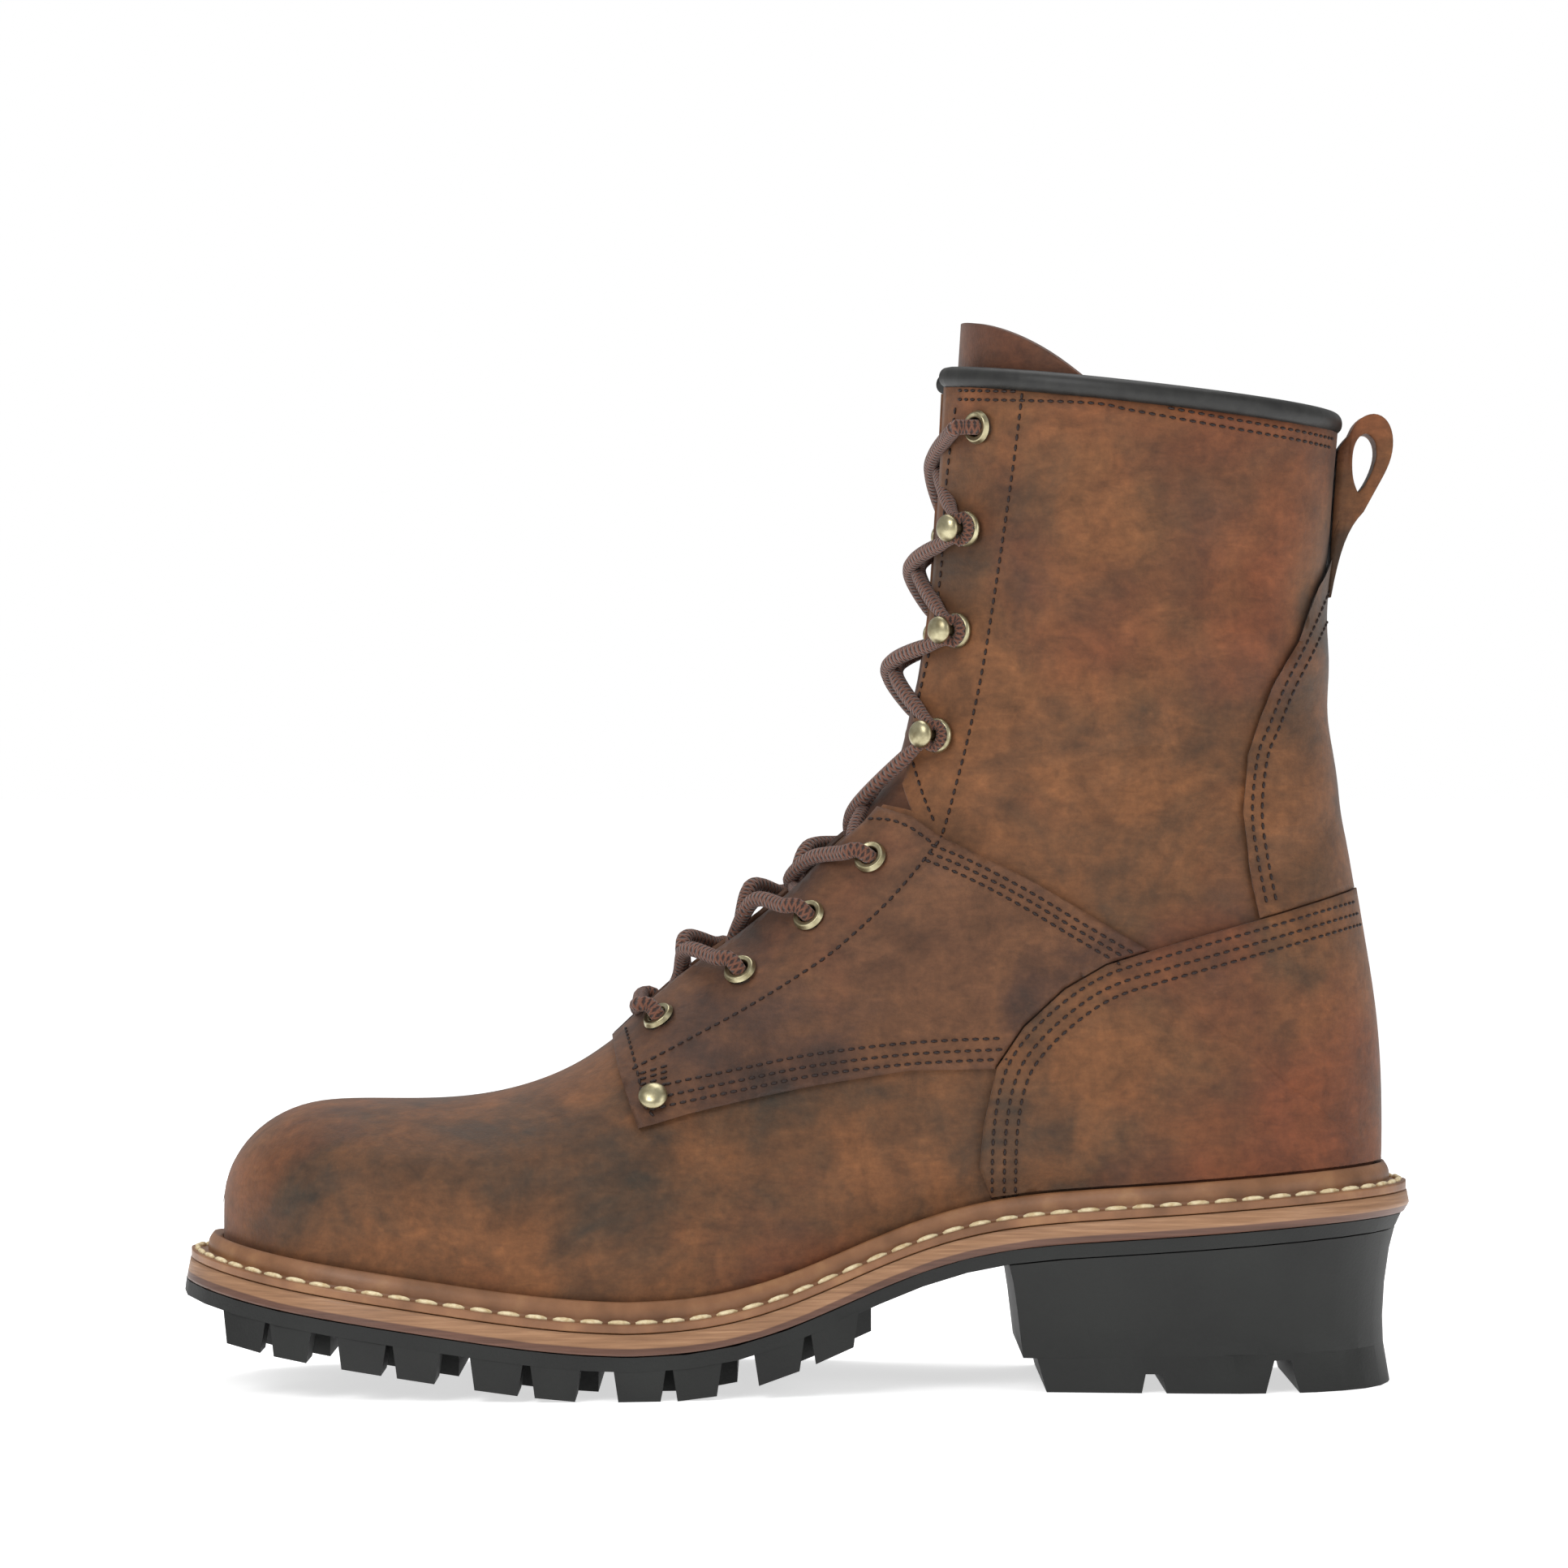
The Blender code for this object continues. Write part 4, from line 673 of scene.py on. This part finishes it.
spine = (arc_rays(TOE_CENTRE, math.pi / 2) + straight_rays(range(1, SPINE_STEPS), -1)
         + arc_rays(HEEL_CENTRE, -math.pi / 2) + straight_rays(range(SPINE_STEPS - 1, -1, -1), 1))
welt_line = []
for start, way in spine:
    origin = start + way * OUTSIDE
    level = sole_top(start.x + way.x * HALF_FOOT) - WELT_MIDDLE
    hit = None
    for step in LEVEL_TRIES:
        origin.z = level + step
        hit = hit or sole_tree.ray_cast(origin, -way)[0]
    if hit is None:
        continue
    spot = hit - way * STITCH_INSET
    top = welt_tree.ray_cast(Vector((spot.x, spot.y, 0.09)), Vector((0, 0, -1)))[0]
    if top is not None:
        welt_line.append(top)
work = bmesh.new()
sew_places(work, welt_line, [Vector((0, 0, 1))] * len(welt_line), WELT_PITCH, WELT_THREAD, 0.96)
welt_stitches = new_object("welt_stitches", work, IVORY_THREAD)
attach(welt_stitches, "root")

# Eyelets, hooks and rivets
# Stamped brass with an antique finish, its tarnish paler and browner at random.
BRASS, brass_shader = blank_material("antique_brass_plate", 0.30, 1.0)
space = node(BRASS, "ShaderNodeTexCoord").outputs["Object"]
tarnish = node(BRASS, "ShaderNodeTexNoise", {"Vector": space, "Scale": 350.0, "Detail": 4.0}).outputs["Fac"]
BRASS.node_tree.links.new(ramp(BRASS, tarnish, [(0.35, linear("8E8466")), (0.65, linear("C2BA98"))]),
                          brass_shader.inputs["Base Color"])
BRASS.node_tree.links.new(ramp(BRASS, tarnish, [(0.3, 0.42), (0.7, 0.26)]), brass_shader.inputs["Roughness"])
fasteners = {}
for name in sorted(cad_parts):
    if name.startswith(("eyelet", "hook", "rivet")):
        stamped = subdivided(quads(copy_of(name)), math.radians(55))
        lows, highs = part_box(name)
        fasteners[name] = Vector([(a + b) / 2 for a, b in zip(lows, highs)])
        piece = new_object("brass_" + name, stamped, BRASS)
        piece.data.set_sharp_from_angle(angle=SHARP_ANGLE)
        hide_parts(name)
        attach(piece, "root")

# Lace
# One round braided cord, 3.8 mm thick and pinched thinner under the hooks' heads, through every eyelet and
# round every hook, with the two hidden ends stopped inside the top eyelets.
LACE_RADIUS = 0.0019
CORD_SIDES = 12
CORD_STEP = 0.0012
BRAID_PITCH = 0.0015
LACE, lace_shader = blank_material("braided_polyester_lace", 0.75)
wrap = node(LACE, "ShaderNodeUVMap", uv_map="along").outputs["UV"]
# Braid ribs 1.5 mm apart, slanting round the cord both ways
ribs = []
for slant in (2.0, -2.0):
    slanted = node(LACE, "ShaderNodeMapping", {"Vector": wrap, "Scale": (slant, 1.0, 1.0)})
    waves = {"Vector": slanted.outputs["Vector"], "Scale": 1.0, "Distortion": 0.0}
    ribs.append(node(LACE, "ShaderNodeTexWave", waves, wave_type="BANDS",
                     bands_direction="DIAGONAL").outputs["Fac"])
braid_height_and_groove_shade = node(LACE, "ShaderNodeMath", {0: ribs[0], 1: ribs[1]}, operation="MAXIMUM").outputs["Value"]
# Painted shade: the cord's colour follows the braid's height, dark in the grooves between the ribs and
# lighter on them
LACE.node_tree.links.new(ramp(LACE, braid_height_and_groove_shade, [(0.35, linear("2E1913")), (0.85, linear("704430"))]),
                         lace_shader.inputs["Base Color"])
lift = node(LACE, "ShaderNodeBump", {"Height": braid_height_and_groove_shade, "Strength": 0.8, "Distance": 0.0007})
LACE.node_tree.links.new(lift.outputs["Normal"], lace_shader.inputs["Normal"])
lace_shader.inputs["Sheen Weight"].default_value = 0.2
# How much thinner the cord is pinched under a hook's head
PINCH = 0.30
PINCH_REACH = 0.0050


# The places of one ring of the cord, from its arm and the way ahead
def ring_places(spot, arm, across, width):
    angles = [2 * math.pi * n / CORD_SIDES for n in range(CORD_SIDES)]
    return [spot + (arm * -math.sin(angle) + across * math.cos(angle)) * width for angle in angles]


def cord(name, places):
    line = [Vector(p) for p in smooth_line([tuple(p) for p in places], 14)]
    even = [line[0]]
    for p in line[1:]:
        if (p - even[-1]).length >= CORD_STEP:
            even.append(p)
    widths = []
    for spot in even:
        near = min((spot - centre).length for key, centre in fasteners.items() if key.startswith("hook"))
        widths.append(LACE_RADIUS * (1 - PINCH * min(max(2 - near / PINCH_REACH, 0), 1)))
    work = bmesh.new()
    first_ahead = (even[1] - even[0]).normalized()
    first_arm = first_ahead.orthogonal().normalized()
    first_across = first_ahead.cross(first_arm)
    turned = Matrix((first_arm, first_across, first_ahead)).transposed().to_4x4()
    made = bmesh.ops.create_circle(work, segments=CORD_SIDES, radius=LACE_RADIUS, cap_ends=True,
                                   matrix=Matrix.Translation(even[0]) @ turned)
    rings = [made["verts"]]
    arm = first_arm
    for k in range(1, len(even)):
        ahead = (even[min(k + 1, len(even) - 1)] - even[k - 1]).normalized()
        arm = (arm - ahead * arm.dot(ahead)).normalized()
        last = rings[-1]
        edges = [work.edges.get((last[n], last[(n + 1) % CORD_SIDES])) for n in range(CORD_SIDES)]
        grown = bmesh.ops.extrude_edge_only(work, edges=edges)
        fresh = [item for item in grown["geom"] if isinstance(item, bmesh.types.BMVert)]
        ordered = []
        for v in last:
            ordered.append(min(fresh, key=lambda other: (other.co - v.co).length_squared))
            fresh.remove(ordered[-1])
        for v, place in zip(ordered, ring_places(even[k], arm, ahead.cross(arm), widths[k])):
            v.co = place
        rings.append(ordered)
    for v, place in zip(rings[0], ring_places(even[0], first_arm, first_across, LACE_RADIUS)):
        v.co = place
    work.faces.new(rings[-1])
    around = work.loops.layers.uv.new("along")
    number = {v: (k, n) for k, ring in enumerate(rings) for n, v in enumerate(ring)}
    for face in work.faces:
        turns = [number[loop.vert][1] for loop in face.loops]
        crosses_seam = max(turns) - min(turns) > CORD_SIDES / 2
        for loop in face.loops:
            k, n = number[loop.vert]
            if crosses_seam and n == 0:
                n = CORD_SIDES
            loop[around].uv = (n / CORD_SIDES, k * CORD_STEP / BRAID_PITCH)
    bmesh.ops.recalc_face_normals(work, faces=work.faces)
    piece = new_object(name, work, LACE)
    length = sum((even[k] - even[k - 1]).length for k in range(1, len(even)))
    return piece, length


HOLE_MARGIN = 0.008


# The outward direction beside a fastener, from the leather above and below its own hole
def outward_at(place, up, side):
    total = Vector((0, 0, 0))
    for away in (-HOLE_MARGIN, HOLE_MARGIN):
        normal = upper_tree.find_nearest(place + up * away + Vector((0, side * 0.003, 0)))[1]
        total += normal if normal.y * side > 0 else -normal
    return total.normalized()


PAIRS = ["eyelet_1", "eyelet_2", "eyelet_3", "eyelet_4", "hook_1", "hook_2", "hook_3", "eyelet_5"]
SIDE_NAMES = {-1: "medial", 1: "lateral"}
# Front of the lace at the bar and at each crossing, in the side view
BAR_FRONT = (-0.1418, 0.0930)
CROSSING_FRONTS = ((-0.1320, 0.1010), (-0.1188, 0.1100), (-0.1048, 0.1250), (-0.0884, 0.1430),
                   (-0.0814, 0.1760), (-0.0760, 0.2000), (-0.0708, 0.2250))
UNDER_STRAND = 0.0020
HOOK_REACH = 0.0030
HOOK_TURN = 0.0012
HOOK_MOUTH = 0.0020
HOOK_SINK = 0.0006
LOW_RISE = 0.0040
TOP_RISE = 0.0034
# Where a strand goes over the throat's edge, from its low eyelet: forward, down and from the middle
OVER_EDGE = (0.0120, 0.0078, 0.0110)


def eyelet_place(pair, side):
    return fasteners[f"{pair}_{SIDE_NAMES[side]}"]


# A fastener's place, with its directions out of the leather, up the throat, back and forward of it
def beside(number, side):
    middle = eyelet_place(PAIRS[number], side)
    before = eyelet_place(PAIRS[max(number - 1, 0)], side)
    after = eyelet_place(PAIRS[min(number + 1, len(PAIRS) - 1)], side)
    up = (after - before).normalized()
    out = outward_at(middle, up, side)
    back = out.cross(up).normalized()
    if back.x < 0:
        back = -back
    front = Vector((-up.z, 0, up.x)).normalized()
    return middle, out, up, back, front


def round_hook(middle, out, up, back):
    return [middle - out * 0.0002 - up * HOOK_REACH - back * HOOK_MOUTH,
            middle - out * HOOK_SINK - up * HOOK_REACH + back * HOOK_TURN,
            middle - out * HOOK_SINK + back * HOOK_REACH,
            middle - out * HOOK_SINK + up * HOOK_REACH + back * HOOK_TURN,
            middle - out * 0.0002 + up * HOOK_REACH - back * HOOK_MOUTH]


# Over the leather, down through the hole and out under the throat's edge
def through_eyelet(number, side, middle, out, up, back, front):
    low = number < 4
    rise = LOW_RISE if low else TOP_RISE
    places = []
    if 0 < number < 4:
        flat_up = Vector((up.x, 0, up.z)).normalized()
        over = middle + front * OVER_EDGE[0] - flat_up * OVER_EDGE[1]
        places.append(Vector((over.x, side * OVER_EDGE[2], over.z)))
    places.append(middle + out * rise - back * 0.0050 - up * (0.0028 if low else 0.0016))
    places.append(middle + out * rise - back * 0.0024 - up * 0.0004)
    places.append(middle + out * rise * 0.35 + back * 0.0004)
    places.append(middle - out * 0.0036)
    if number < len(PAIRS) - 1:
        places.append(middle - out * 0.0052 - back * 0.0036 + up * 0.0006)
        places.append(middle - out * 0.0046 - back * 0.0100 + up * 0.0018)
    return places


# Half of the lace, from the middle of the bar up to a top eyelet, changing sides at every crossing
def strand(side):
    front = beside(0, side)[4]
    places = [Vector((BAR_FRONT[0], 0.0, BAR_FRONT[1])) - front * LACE_RADIUS]
    for number, pair in enumerate(PAIRS):
        middle, out, up, back, front = beside(number, side)
        if pair.startswith("hook"):
            places += round_hook(middle, out, up, back)
        else:
            places += through_eyelet(number, side, middle, out, up, back, front)
        if number < len(CROSSING_FRONTS):
            x, z = CROSSING_FRONTS[number]
            sunk = LACE_RADIUS + (UNDER_STRAND if side < 0 else 0.0)
            places.append(Vector((x, 0.0, z)) - front * sunk)
        side = -side
    return places


lace, lace_length = cord("braided_lace", list(reversed(strand(-1))) + strand(1)[1:])
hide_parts("lace_bar", *[f"lace_crossing_{k}" for k in range(1, 8)])
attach(lace, "root")
print("lace length", round(lace_length, 3))
